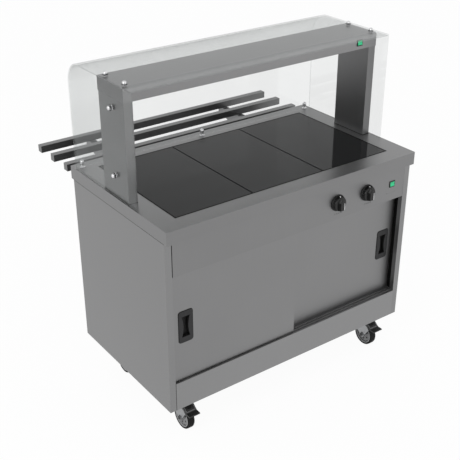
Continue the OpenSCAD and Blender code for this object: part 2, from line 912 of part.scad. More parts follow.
// Nylon glides under a door, running in the bottom track
module glides(x0, y0) {
    y = y0 + door_t / 2;
    z0 = track_z0 + track_t + glide_play;
    color(nylon) for (x = [x0 + glide_inset, x0 + door_w - glide_inset - glide_l]) {
        block([x, y - glide_t / 2, z0], [x + glide_l, y + glide_t / 2, door_z0]);
    }
}

module left_door_glides() {
    glides(left_door_x0, door_y0);
}

module right_door_glides() {
    glides(right_door_x0, rear_door_y0);
}

// Box-section upright from the worktop up into the canopy
module right_upright() {
    color(steel) difference() {
        block([upright_x0, upright_y0, top_h], [upright_x1, upright_y1, upright_z1]);
        block([upright_x0 + panel_t, upright_y0 + panel_t, top_h - over],
              [upright_x1 - panel_t, upright_y1 - panel_t, upright_z1 + over]);
        for (z = [side_fixing_low, side_fixing_high]) {
            translate([0, side_fixing_y, top_h + z])
                rod_x(upright_x1 - over, upright_x1 + over, stud_r + fit);
        }
    }
}

module left_upright() {
    mirror([1, 0, 0]) right_upright();
}

// Canopy section, drawn in by a margin all round
module canopy_outline(margin) {
    r = canopy_r - margin;
    y0 = canopy_y0 + margin;
    y1 = canopy_y1 - margin;
    z1 = canopy_z1 - margin;
    translate([y0, canopy_z0]) square([y1 - y0, z1 - r - canopy_z0]);
    translate([y0 + r, canopy_z0]) square([y1 - y0 - r, z1 - canopy_z0]);
    translate([y0 + r, z1 - r]) circle(r);
}

// Places of the domed fixings on top of the canopy
function top_fixings() = [
    for (side = [-1, 1], y = [canopy_y0 + canopy_r + nut_r, canopy_y1 - top_fixing_rear])
        [side * (canopy_x - top_fixing_x), y]
];

// Canopy: a folded hood open underneath, with end plates and bottom returns
module canopy() {
    color(steel) {
        difference() {
            along_x(-canopy_x, canopy_x) canopy_outline(0);
            along_x(panel_t - canopy_x, canopy_x - panel_t) {
                canopy_outline(panel_t);
                translate([canopy_y0 + panel_t, canopy_z0 - over]) square([canopy_d - 2 * panel_t, 2 * over]);
            }
            for (place = top_fixings()) {
                translate([place.x, place.y, canopy_z1 - over]) cylinder(h = 2 * over, r = stud_r + fit);
            }
            at_gantry_switch() switch_hole();
        }
        for (y = [canopy_y0, canopy_y1 - canopy_return]) {
            block([-upright_x0, y, canopy_z0], [upright_x0, y + canopy_return, canopy_z0 + panel_t]);
        }
    }
}

// Folded reflector between the canopy's front and back, flat in the middle
module lamp_reflector() {
    y0 = canopy_y0 + panel_t;
    y1 = canopy_y1 - panel_t;
    flat = canopy_d * reflector_flat_share / 2;
    color(bright) along_x(-reflector_x, reflector_x) polygon([
        [y0, reflector_z0], [y0, reflector_z0 + canopy_return], [lamp_y - flat, reflector_z1],
        [lamp_y + flat, reflector_z1], [y1, reflector_z0 + canopy_return], [y1, reflector_z0],
        [y1 - reflector_t, reflector_z0], [y1 - reflector_t, reflector_z0 + canopy_return - reflector_t],
        [lamp_y + flat - reflector_t / 2, reflector_z1 - reflector_t],
        [lamp_y - flat + reflector_t / 2, reflector_z1 - reflector_t],
        [y0 + reflector_t, reflector_z0 + canopy_return - reflector_t], [y0 + reflector_t, reflector_z0]
    ]);
}

// Two quartz lamps in line, with ceramic caps
module quartz_lamps() {
    x0 = lamp_gap / 2;
    x1 = x0 + lamp_l;
    color("#f0c890") both_sides() translate([0, lamp_y, lamp_z]) {
        rod_x(x0, x1, lamp_r);
        rod_x(x0, x0 + lamp_cap_l, lamp_cap_r);
        rod_x(x1 - lamp_cap_l, x1, lamp_cap_r);
    }
}

// Clips that hang from the reflector and hold the lamps' caps
module lamp_holders() {
    x0 = lamp_gap / 2;
    x1 = x0 + lamp_l;
    color(bright) both_sides() for (x = [x0 + lamp_cap_l / 2, x1 - lamp_cap_l / 2]) difference() {
        block([x - lamp_cap_l / 4, lamp_y - holder_w / 2, lamp_z - holder_t / 2],
              [x + lamp_cap_l / 4, lamp_y + holder_w / 2, reflector_z1 - reflector_t]);
        translate([0, lamp_y, lamp_z]) rod_x(x - lamp_cap_l, x + lamp_cap_l, lamp_cap_r + fit);
    }
}

// Section of the bent sheet, drawn in from its outer face by a margin
module bend_outline(margin) {
    r = glass_bend_r - margin;
    y1 = glass_y1 - margin;
    z1 = glass_z1 - margin;
    translate([glass_y0, glass_z0]) square([y1 - r - glass_y0, z1 - glass_z0]);
    translate([glass_y0, glass_z0]) square([y1 - glass_y0, z1 - r - glass_z0]);
    translate([y1 - r, z1 - r]) circle(r, $fn = 96);
}

// Bent sheet: flat over the canopy, round at the back, then down to the worktop
module screen_glass() {
    color(clear_glass, 0.35) difference() {
        along_x(-glass_x, glass_x) difference() {
            bend_outline(0);
            bend_outline(glass_t);
        }
        for (place = top_fixings()) {
            translate([place.x, place.y, canopy_z1 - over])
                cylinder(h = glass_t + 2 * over, r = stud_hole_r);
        }
    }
}

// End pane, just outside the upright and inside the bent sheet
module right_end_glass() {
    color(clear_glass, 0.35) difference() {
        along_x(canopy_x, canopy_x + glass_t) {
            bend_outline(glass_t);
            translate([glass_y0, top_h]) square([glass_y1 - glass_t - glass_y0, glass_foot]);
        }
        for (z = [side_fixing_low, side_fixing_high]) {
            translate([0, side_fixing_y, top_h + z])
                rod_x(canopy_x - over, canopy_x + glass_t + over, stud_hole_r);
        }
    }
}

module left_end_glass() {
    mirror([1, 0, 0]) right_end_glass();
}

// Round post with a low dome on top
module domed_post(r, h) {
    cap_h = r / 2;
    sphere_r = (r * r + cap_h * cap_h) / (2 * cap_h);
    rotate_extrude() {
        square([r, h - cap_h]);
        translate([0, h - cap_h]) intersection() {
            translate([0, cap_h - sphere_r]) circle(sphere_r, $fn = 96);
            square([r, cap_h]);
        }
    }
}

// Domed nut on a stud, pointing up from z = 0, with a nut inside
module dome_fixing(spacer) {
    inside = glass_t + spacer + panel_t;
    domed_post(dome_r, dome_h);
    translate([0, 0, -inside - nut_t]) cylinder(h = inside + nut_t, r = stud_r);
    translate([0, 0, -inside - nut_t]) cylinder(h = nut_t, r = nut_r, $fn = 6);
    if (spacer > 0) translate([0, 0, -glass_t - spacer]) cylinder(h = spacer, r = dome_r);
}

// Chrome fixings on top of the screen and on its two ends
module glass_fixings() {
    color("#e0e0e0") {
        for (place = top_fixings()) translate([place.x, place.y, glass_z1]) dome_fixing(0);
        both_sides() for (z = [side_fixing_low, side_fixing_high]) {
            translate([canopy_x + glass_t, side_fixing_y, top_h + z]) rotate([0, 90, 0]) dome_fixing(panel_t);
        }
    }
}

// Slotted posts that hold the foot of the customer side glass
module clamp_posts() {
    slot = glass_t / 2 + clamp_slot_play;
    yc = glass_y1 - glass_t / 2;
    color("#e0e0e0") for (x = clamp_places) translate([x, yc, top_h]) difference() {
        union() {
            cylinder(h = clamp_foot_t, r = clamp_foot_r);
            domed_post(clamp_r, clamp_h);
        }
        block([-clamp_r - over, -slot, glass_foot], [clamp_r + over, slot, clamp_h + over]);
    }
}

// Three square rails along the customer side, closed at their ends
module tray_rails() {
    color(steel) for (i = [0, 1, 2]) {
        y = rail_y0 + i * rail_pitch;
        difference() {
            block([-rail_x, y, rail_z0], [rail_x, y + rail_s, rail_z1]);
            block([rail_wall - rail_x, y + rail_wall, rail_z0 + rail_wall],
                  [rail_x - rail_wall, y + rail_s - rail_wall, rail_z1 - rail_wall]);
        }
    }
}

// Side view of a bracket, drawn in by a margin along its top and ends, and lowered along its bottom
module bracket_outline(margin, drop) {
    polygon([
        [bracket_y0 + margin, bracket_neck_z - bracket_root_h - drop],
        [bracket_y1 - margin, rail_z0 - bracket_tip_h - drop],
        [bracket_y1 - margin, rail_z0 - margin], [bracket_step_y + margin, rail_z0 - margin],
        [bracket_step_y + margin, bracket_neck_z - margin], [bracket_y0 + margin, bracket_neck_z - margin]
    ]);
}

// Gallows brackets under the rails: folded, open underneath, with a plate on the back panel
module tray_brackets() {
    plate_x = bracket_w / 2 + bracket_plate_edge;
    plate_z0 = bracket_neck_z - bracket_root_h - bracket_plate_edge;
    color(steel) both_sides() translate([bracket_x, 0, 0]) {
        difference() {
            along_x(-bracket_w / 2, bracket_w / 2) bracket_outline(0, 0);
            along_x(bracket_t - bracket_w / 2, bracket_w / 2 - bracket_t) bracket_outline(bracket_t, over);
        }
        block([-plate_x, bracket_y0, plate_z0], [plate_x, bracket_y0 + bracket_t, bracket_neck_z]);
    }
}

// Castor at each corner: side is -1 or 1, y is its swivel axis
module at_castor(side, y) {
    translate([side * castor_x, y, 0]) children();
}

// Top plates with their bolts, race and kingpin
module castor_plates() {
    z0 = pan_z0 - plate_t;
    head_z0 = crown_z0 - race_gap - kingpin_head_t;
    color(zinc) for (side = [-1, 1], y = [castor_yf, castor_yr]) at_castor(side, y) {
        block([-plate_w / 2, -plate_d / 2, z0], [plate_w / 2, plate_d / 2, pan_z0]);
        translate([0, 0, z0 - race_h]) cylinder(h = race_h, r = race_r);
        translate([0, 0, head_z0]) cylinder(h = z0 - head_z0, r = kingpin_r);
        translate([0, 0, head_z0]) cylinder(h = kingpin_head_t, r = kingpin_head_r);
        for (bx = [-1, 1], by = [-1, 1]) {
            translate([bx * (plate_w / 2 - bolt_inset), by * (plate_d / 2 - bolt_inset), z0 - bolt_head_t])
                cylinder(h = bolt_head_t, r = bolt_head_r, $fn = 6);
        }
    }
}

// Side view of a fork's leg, round the swivel axis: broad, with a nose over the front of the wheel
module leg_outline() {
    back = leg_top_l / 2;
    front = -pedal_pin_y - pedal_cheek_r;
    polygon([
        [-castor_trail - axle_boss_r, wheel_r], [-leg_nose_y, crown_z0 - leg_nose_drop],
        [front, pedal_pin_z - pedal_pin_r], [front, crown_z1], [back, crown_z1], [back, leg_heel_z],
        [axle_boss_r - castor_trail, wheel_r]
    ]);
    translate([-castor_trail, wheel_r]) circle(axle_boss_r);
}

// Fork with its axle bolt; the front forks also carry a pedal's pin
module fork(pedal) {
    color(zinc) {
        difference() {
            union() {
                translate([0, 0, crown_z0]) cylinder(h = fork_t, r = crown_r);
                block([-leg_x1, -crown_r, crown_z0], [leg_x1, leg_top_l / 2, crown_z1]);
                for (x = [-leg_x1, leg_x0]) along_x(x, x + fork_t) leg_outline();
            }
            translate([0, 0, crown_z0 - over]) cylinder(h = fork_t + 2 * over, r = kingpin_r + fit);
            if (pedal) translate([0, -pedal_pin_y, pedal_pin_z])
                rod_x(-leg_x1 - over, leg_x1 + over, pedal_pin_r + fit);
        }
        translate([0, -castor_trail, wheel_r]) {
            rod_x(-leg_x1 - axle_head_t, leg_x1 + axle_head_t, axle_r);
            for (x = [-leg_x1 - axle_head_t, leg_x1]) rod_x(x, x + axle_head_t, axle_head_r);
        }
    }
}

// Wheel centre: barrel, web and rim
module hub() {
    color("#9c9c9c") translate([0, -castor_trail, wheel_r]) difference() {
        union() {
            rod_x(-hub_barrel_w / 2, hub_barrel_w / 2, hub_barrel_r);
            rod_x(-hub_web_t / 2, hub_web_t / 2, hub_r - hub_rim_t / 2);
            difference() {
                rod_x(-hub_w / 2, hub_w / 2, hub_r);
                rod_x(-hub_w, hub_w, hub_r - hub_rim_t);
            }
        }
        rod_x(-hub_barrel_w, hub_barrel_w, axle_r + fit);
    }
}

// Tyre with rounded shoulders
module tyre() {
    shoulder = tread_t / 3;
    color(black) translate([0, -castor_trail, wheel_r]) rotate([0, 90, 0]) rotate_extrude($fn = 96)
        intersection() {
            translate([0, -tyre_w / 2]) rounded([hub_r - tread_t, 0], [wheel_r, tyre_w], shoulder);
            translate([hub_r, -tyre_w / 2]) square([tread_t, tyre_w]);
        }
}

// Brake pedal: a sloping plate with a toe, and cheeks on a pin through the fork
module pedal_shape() {
    knee = [-pedal_knee_y, crown_z0 - pedal_knee_drop];
    toe = [-pedal_toe_y, knee.y];
    pin = [-pedal_pin_y, pedal_pin_z];
    head = [pin.x - pedal_cheek_r - pedal_t, pin.y + pedal_cheek_r];
    cheek_x = leg_x1 + race_gap;
    color(black) {
        along_x(-pedal_w / 2, pedal_w / 2) polygon([
            head, knee + [0, pedal_t], toe + [0, pedal_t], toe, knee + [pedal_t / 2, 0],
            head - [0, 1.5 * pedal_t]
        ]);
        both_sides() along_x(cheek_x, pedal_w / 2) {
            translate(pin) circle(pedal_cheek_r);
            polygon([pin + [0, pedal_cheek_r], head, knee + [pedal_t, pedal_t], pin - [0, pedal_cheek_r]]);
        }
        translate([0, pin.x, pin.y]) rod_x(-cheek_x, cheek_x, pedal_pin_r);
    }
}

module front_left_fork() {
    at_castor(-1, castor_yf) fork(true);
}

module front_right_fork() {
    at_castor(1, castor_yf) fork(true);
}

module rear_left_fork() {
    at_castor(-1, castor_yr) fork(false);
}

module rear_right_fork() {
    at_castor(1, castor_yr) fork(false);
}

module front_left_hub() {
    at_castor(-1, castor_yf) hub();
}

module front_right_hub() {
    at_castor(1, castor_yf) hub();
}

module rear_left_hub() {
    at_castor(-1, castor_yr) hub();
}

module rear_right_hub() {
    at_castor(1, castor_yr) hub();
}

module front_left_tyre() {
    at_castor(-1, castor_yf) tyre();
}

module front_right_tyre() {
    at_castor(1, castor_yf) tyre();
}

module rear_left_tyre() {
    at_castor(-1, castor_yr) tyre();
}

module rear_right_tyre() {
    at_castor(1, castor_yr) tyre();
}

module front_left_pedal() {
    at_castor(-1, castor_yf) pedal_shape();
}

module front_right_pedal() {
    at_castor(1, castor_yf) pedal_shape();
}

left_side_panel();
right_side_panel();
back_panel();
base_pan();
front_plinth();
cupboard_liner();
shelf();
bottom_track();
top_track();
control_fascia();
worktop();
hot_glass_left();
hot_glass_centre();
hot_glass_right();
glass_seal();
heater_mats();
hot_top_tray();
cupboard_element();
mains_gland();
hot_top_knob();
cupboard_knob();
thermostats();
switch_bodies();
fascia_rocker();
gantry_rocker();
left_door();
right_door();
left_door_pull();
right_door_pull();
left_door_glides();
right_door_glides();
left_upright();
right_upright();
canopy();
lamp_reflector();
quartz_lamps();
lamp_holders();
screen_glass();
left_end_glass();
right_end_glass();
glass_fixings();
clamp_posts();
tray_rails();
tray_brackets();
castor_plates();
front_left_fork();
front_right_fork();
rear_left_fork();
rear_right_fork();
front_left_hub();
front_right_hub();
rear_left_hub();
rear_right_hub();
front_left_tyre();
front_right_tyre();
rear_left_tyre();
rear_right_tyre();
front_left_pedal();
front_right_pedal();
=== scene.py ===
"""Looks of the hot cupboard servery counter: camera, light, materials and fine pieces over the CAD."""

import math

import bmesh
import bpy
from mathutils import Matrix, Vector


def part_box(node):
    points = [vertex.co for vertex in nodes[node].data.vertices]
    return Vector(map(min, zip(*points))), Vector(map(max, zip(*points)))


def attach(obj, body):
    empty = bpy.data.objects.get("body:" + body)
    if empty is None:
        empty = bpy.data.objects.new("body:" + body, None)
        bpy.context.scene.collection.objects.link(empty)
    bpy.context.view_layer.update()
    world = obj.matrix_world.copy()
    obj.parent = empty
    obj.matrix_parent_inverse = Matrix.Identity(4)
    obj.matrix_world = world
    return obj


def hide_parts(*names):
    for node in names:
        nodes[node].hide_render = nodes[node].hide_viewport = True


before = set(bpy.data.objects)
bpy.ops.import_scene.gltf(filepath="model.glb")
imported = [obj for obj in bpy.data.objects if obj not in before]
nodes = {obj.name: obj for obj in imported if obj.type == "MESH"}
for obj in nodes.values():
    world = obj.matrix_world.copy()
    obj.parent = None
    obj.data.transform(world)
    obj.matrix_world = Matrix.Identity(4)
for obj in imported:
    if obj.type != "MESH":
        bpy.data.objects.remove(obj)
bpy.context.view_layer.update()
scene = bpy.context.scene
MM = 0.001


def mm(*values):
    """Lengths in millimetres as a tuple of metres."""
    return tuple(value * MM for value in values)


def scaled(profile):
    """Points in millimetres as metres."""
    return [mm(*point) for point in profile]


# Places and names that several pieces share

def corners(node):
    """Lowest and highest corner of a node as vectors."""
    low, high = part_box(node)
    return Vector(low), Vector(high)


def each(ending, places):
    """Names of the same node at several places, such as left_door and right_door."""
    return [f"{place}_{ending}" for place in places]


SIDES = ("left", "right")
CASTORS = ("front_left", "front_right", "rear_left", "rear_right")
BRAKED = CASTORS[:2]
HOT_TILES = ["hot_glass_left", "hot_glass_centre", "hot_glass_right"]
TOP_LOW, TOP_HIGH = corners("worktop")
TOP_Z = TOP_HIGH.z
CANOPY_LOW, CANOPY_HIGH = corners("canopy")
GLASS_LOW, GLASS_HIGH = corners("screen_glass")
FASCIA_LOW, FASCIA_HIGH = corners("control_fascia")
BACK_LOW, BACK_HIGH = corners("back_panel")
PANE = 6 * MM
BEND_R = 88 * MM


# Camera, light and floor

SENSOR_MM = 36
LENS_MM = 69.74
CAMERA_PLACE = (-1.8978, -2.6470, 2.2476)
CAMERA_DOWN = 27.795
CAMERA_TURN = 36.066
VIEW_END = 100
WORLD_LIGHT = (0.98, 0.99, 1.0, 1)
WORLD_POWER = 0.75
WHITE = (1, 1, 1, 1)
FLOOR_HALF = 12
FLOOR_COLOUR = (0.7, 0.7, 0.7, 1)
FLOOR_GLOW = 1.02
FLOOR_GLOW_SHARE = 0.93
KEY = {"place": (-3.4, -1.5, 2.6), "target": (0, -0.1, 0.6), "size": 2.2, "power": 45}
FILL = {"place": (2.0, -3.4, 1.6), "target": (0, 0, 0.6), "size": 2.4, "power": 14}


def make_camera():
    """Camera at the photograph's place, angle and field of view."""
    data = bpy.data.cameras.new("camera")
    data.sensor_width = SENSOR_MM
    data.lens = LENS_MM
    data.clip_end = VIEW_END
    camera = bpy.data.objects.new("camera", data)
    camera.location = CAMERA_PLACE
    camera.rotation_euler = (math.radians(90 - CAMERA_DOWN), 0, math.radians(-CAMERA_TURN))
    scene.collection.objects.link(camera)
    scene.camera = camera


def area_light(name, place, target, size, power):
    """Soft square light at a place, turned towards a target."""
    data = bpy.data.lights.new(name, "AREA")
    data.shape = "SQUARE"
    data.size = size
    data.energy = power
    light = bpy.data.objects.new(name, data)
    light.location = place
    light.rotation_euler = (Vector(target) - Vector(place)).to_track_quat("-Z", "Y").to_euler()
    scene.collection.objects.link(light)


def background_rays(tree):
    """1 for the rays that show the background: from the camera, off metal and through glass."""
    path = tree.nodes.new("ShaderNodeLightPath")
    seen = path.outputs["Is Camera Ray"]
    for kind in ("Is Glossy Ray", "Is Transmission Ray"):
        either = tree.nodes.new("ShaderNodeMath")
        either.operation = "MAXIMUM"
        tree.links.new(seen, either.inputs[0])
        tree.links.new(path.outputs[kind], either.inputs[1])
        seen = either.outputs[0]
    return seen


def mix_surface(tree, share, first, second, out):
    """Gives an output the mix of two shaders; a share of 1 is all second."""
    mix = tree.nodes.new("ShaderNodeMixShader")
    tree.links.new(share, mix.inputs["Fac"])
    tree.links.new(first.outputs[0], mix.inputs[1])
    tree.links.new(second.outputs[0], mix.inputs[2])
    tree.links.new(mix.outputs[0], out.inputs["Surface"])


def make_world():
    """White where it is seen, and somewhat less as light on matt surfaces."""
    world = bpy.data.worlds.new("studio")
    scene.world = world
    world.use_nodes = True
    tree = world.node_tree
    tree.nodes.clear()
    out = tree.nodes.new("ShaderNodeOutputWorld")
    light = tree.nodes.new("ShaderNodeBackground")
    light.inputs["Color"].default_value = WORLD_LIGHT
    light.inputs["Strength"].default_value = WORLD_POWER
    white = tree.nodes.new("ShaderNodeBackground")
    white.inputs["Color"].default_value = WHITE
    white.inputs["Strength"].default_value = 1.0
    mix_surface(tree, background_rays(tree), light, white, out)


def make_floor():
    """Pale floor: nearly white where it is seen, with a faint shadow, and a plain pale grey as light."""
    mesh = bpy.data.meshes.new("floor")
    square = [(-1, -1), (1, -1), (1, 1), (-1, 1)]
    mesh.from_pydata([(x * FLOOR_HALF, y * FLOOR_HALF, 0) for x, y in square], [], [(0, 1, 2, 3)])
    floor = bpy.data.objects.new("floor", mesh)
    scene.collection.objects.link(floor)
    m = bpy.data.materials.new("floor")
    m.use_nodes = True
    tree = m.node_tree
    tree.nodes.clear()
    out = tree.nodes.new("ShaderNodeOutputMaterial")
    matt = tree.nodes.new("ShaderNodeBsdfDiffuse")
    matt.inputs["Color"].default_value = FLOOR_COLOUR
    glow = tree.nodes.new("ShaderNodeEmission")
    glow.inputs["Strength"].default_value = FLOOR_GLOW
    share = tree.nodes.new("ShaderNodeMath")
    share.operation = "MULTIPLY"
    share.inputs[1].default_value = FLOOR_GLOW_SHARE
    tree.links.new(background_rays(tree), share.inputs[0])
    mix_surface(tree, share.outputs[0], matt, glow, out)
    mesh.materials.append(m)


make_camera()
make_world()
make_floor()
area_light("key", **KEY)
area_light("fill", **FILL)
scene.view_settings.view_transform = "Standard"


# Materials

NOISE_LOW = 0.3
NOISE_HIGH = 0.7
GRAIN_ALONG = 5
GRAIN_ACROSS = 850
GLASS_INDEX = 1.5


def new_material(name):
    """Node material with its Principled shader; returns the material, its tree and the shader."""
    m = bpy.data.materials.new(name)
    m.use_nodes = True
    tree = m.node_tree
    return m, tree, tree.nodes["Principled BSDF"]


def object_noise(tree, scale, detail, offset=0.0):
    """Noise in the object's own coordinates; scale is per metre, one number or one for X, Y and Z."""
    coords = tree.nodes.new("ShaderNodeTexCoord")
    mapping = tree.nodes.new("ShaderNodeMapping")
    mapping.inputs["Scale"].default_value = scale if isinstance(scale, tuple) else (scale,) * 3
    mapping.inputs["Location"].default_value = (offset, offset, offset)
    noise = tree.nodes.new("ShaderNodeTexNoise")
    noise.inputs["Scale"].default_value = 1.0
    noise.inputs["Detail"].default_value = detail
    tree.links.new(coords.outputs["Object"], mapping.inputs["Vector"])
    tree.links.new(mapping.outputs[0], noise.inputs["Vector"])
    return noise.outputs["Fac"]


def ramp(tree, value, low, high):
    """Colour ramp from one colour to another, over the range that noise mostly has."""
    node = tree.nodes.new("ShaderNodeValToRGB")
    first, last = node.color_ramp.elements
    first.position = NOISE_LOW
    first.color = (*low, 1)
    last.position = NOISE_HIGH
    last.color = (*high, 1)
    tree.links.new(value, node.inputs["Fac"])
    return node.outputs["Color"]


def spread(tree, value, low, high):
    """The range that noise mostly has, mapped onto low to high."""
    node = tree.nodes.new("ShaderNodeMapRange")
    node.inputs["From Min"].default_value = NOISE_LOW
    node.inputs["From Max"].default_value = NOISE_HIGH
    node.inputs["To Min"].default_value = low
    node.inputs["To Max"].default_value = high
    tree.links.new(value, node.inputs["Value"])
    return node.outputs["Result"]


def vary(tree, shader, value, colours, roughness):
    """Base colour and roughness that follow a value, each from its low end to its high end."""
    tree.links.new(ramp(tree, value, *colours), shader.inputs["Base Color"])
    tree.links.new(spread(tree, value, *roughness), shader.inputs["Roughness"])


def add_bump(tree, shader, height, strength, distance):
    """Small relief from a height value."""
    bump = tree.nodes.new("ShaderNodeBump")
    bump.inputs["Strength"].default_value = strength
    bump.inputs["Distance"].default_value = distance
    tree.links.new(height, bump.inputs["Height"])
    tree.links.new(bump.outputs["Normal"], shader.inputs["Normal"])


def grey(value):
    """Neutral colour."""
    return (value, value, value)


def tint(colour, factor):
    """A colour made lighter or darker by a factor."""
    return tuple(min(c * factor, 1) for c in colour)


def between(colour, low, high):
    """A colour made lighter or darker by each of two factors."""
    return tint(colour, low), tint(colour, high)


def brushed(name, colour, grain, roughness=0.42, contrast=0.05):
    """Satin stainless sheet: fine grain along one axis over slow patches of handling and rolling."""
    m, tree, shader = new_material(name)
    scale = tuple(GRAIN_ALONG if axis == grain else GRAIN_ACROSS for axis in "xyz")
    lines = object_noise(tree, scale, detail=4)
    patches = object_noise(tree, scale=(3.1, 2.7, 3.7), detail=4, offset=7.3)
    blend = tree.nodes.new("ShaderNodeMix")
    blend.inputs["Factor"].default_value = 0.45
    tree.links.new(lines, blend.inputs["A"])
    tree.links.new(patches, blend.inputs["B"])
    colours = between(colour, 1 - contrast, 1 + contrast)
    vary(tree, shader, blend.outputs["Result"], colours, (roughness - 0.05, roughness + 0.06))
    shader.inputs["Metallic"].default_value = 1.0
    add_bump(tree, shader, lines, strength=0.1, distance=0.12 * MM)
    return m


def plastic(name, colour, roughness=0.45, grain=1400, depth=0.12, coat=0.0):
    """Moulded plastic with a fine sparked texture and slight variations in sheen."""
    m, tree, shader = new_material(name)
    pits = object_noise(tree, grain, detail=2)
    patches = object_noise(tree, scale=22, detail=3, offset=2.1)
    vary(tree, shader, patches, between(colour, 0.85, 1.18), (roughness - 0.06, roughness + 0.08))
    shader.inputs["Specular IOR Level"].default_value = 0.3
    shader.inputs["Coat Weight"].default_value = coat
    add_bump(tree, shader, pits, strength=depth, distance=0.2 * MM)
    return m


def polished(name, colour, roughness=0.12):
    """Chrome or zinc with faint clouding."""
    m, tree, shader = new_material(name)
    clouds = object_noise(tree, scale=60, detail=4)
    vary(tree, shader, clouds, between(colour, 0.92, 1.05), (roughness, roughness + 0.1))
    shader.inputs["Metallic"].default_value = 1.0
    return m


def clear_glass(name, colour, shine=(0.36, 0.37, 0.37), haze=0.02):
    """Thin clear glass: see-through with a mirror film by the angle, faint roller waves and wiping haze."""
    m, tree, shader = new_material(name)
    wipes = object_noise(tree, scale=6, detail=5)
    waves = object_noise(tree, scale=(2, 9, 9), detail=1, offset=4.4)
    vary(tree, shader, wipes, between(shine, 1, 1.06), (0.01, 0.05))
    shader.inputs["Metallic"].default_value = 1.0
    add_bump(tree, shader, waves, strength=0.02, distance=0.5 * MM)
    through = tree.nodes.new("ShaderNodeBsdfTransparent")
    tree.links.new(ramp(tree, wipes, *between(colour, 0.99, 1)), through.inputs["Color"])
    geometry = tree.nodes.new("ShaderNodeNewGeometry")
    index = tree.nodes.new("ShaderNodeMapRange")
    index.inputs["To Min"].default_value = GLASS_INDEX
    index.inputs["To Max"].default_value = 1 / GLASS_INDEX
    tree.links.new(geometry.outputs["Backfacing"], index.inputs["Value"])
    fresnel = tree.nodes.new("ShaderNodeFresnel")
    tree.links.new(index.outputs["Result"], fresnel.inputs["IOR"])
    film = tree.nodes.new("ShaderNodeMath")
    film.operation = "ADD"
    film.use_clamp = True
    film.inputs[1].default_value = haze
    tree.links.new(fresnel.outputs[0], film.inputs[0])
    mix_surface(tree, film.outputs[0], through, shader, tree.nodes["Material Output"])
    return m


def dark_glass(name, colour):
    """Black glass ceramic: deep, smooth, with a trace of wiping marks."""
    m, tree, shader = new_material(name)
    wipes = object_noise(tree, scale=(5, 30, 30), detail=5)
    specks = object_noise(tree, scale=420, detail=2, offset=1.7)
    vary(tree, shader, wipes, between(colour, 0.94, 1.06), (0.035, 0.085))
    shader.inputs["Specular IOR Level"].default_value = 0.14
    add_bump(tree, shader, specks, strength=0.015, distance=0.1 * MM)
    return m


def rubber(name, colour, roughness=0.75, sheen=0.15):
    """Rubber or silicone: matt, slightly dusty."""
    m, tree, shader = new_material(name)
    dust = object_noise(tree, scale=90, detail=5)
    fine = object_noise(tree, scale=900, detail=2, offset=3.3)
    vary(tree, shader, dust, between(colour, 1, 1.7), (roughness - 0.08, roughness + 0.1))
    shader.inputs["Specular IOR Level"].default_value = sheen
    add_bump(tree, shader, fine, strength=0.2, distance=0.3 * MM)
    return m


def lens(name, colour, glow):
    """Tinted translucent rocker with a neon behind it."""
    m, tree, shader = new_material(name)
    depth = object_noise(tree, scale=130, detail=2)
    tree.links.new(ramp(tree, depth, *between(colour, 0.8, 1.2)), shader.inputs["Base Color"])
    tree.links.new(ramp(tree, depth, *between(colour, 0.7, 1.3)), shader.inputs["Emission Color"])
    shader.inputs["Emission Strength"].default_value = glow
    shader.inputs["Roughness"].default_value = 0.22
    shader.inputs["Specular IOR Level"].default_value = 0.25
    shader.inputs["Coat Weight"].default_value = 0.1
    return m


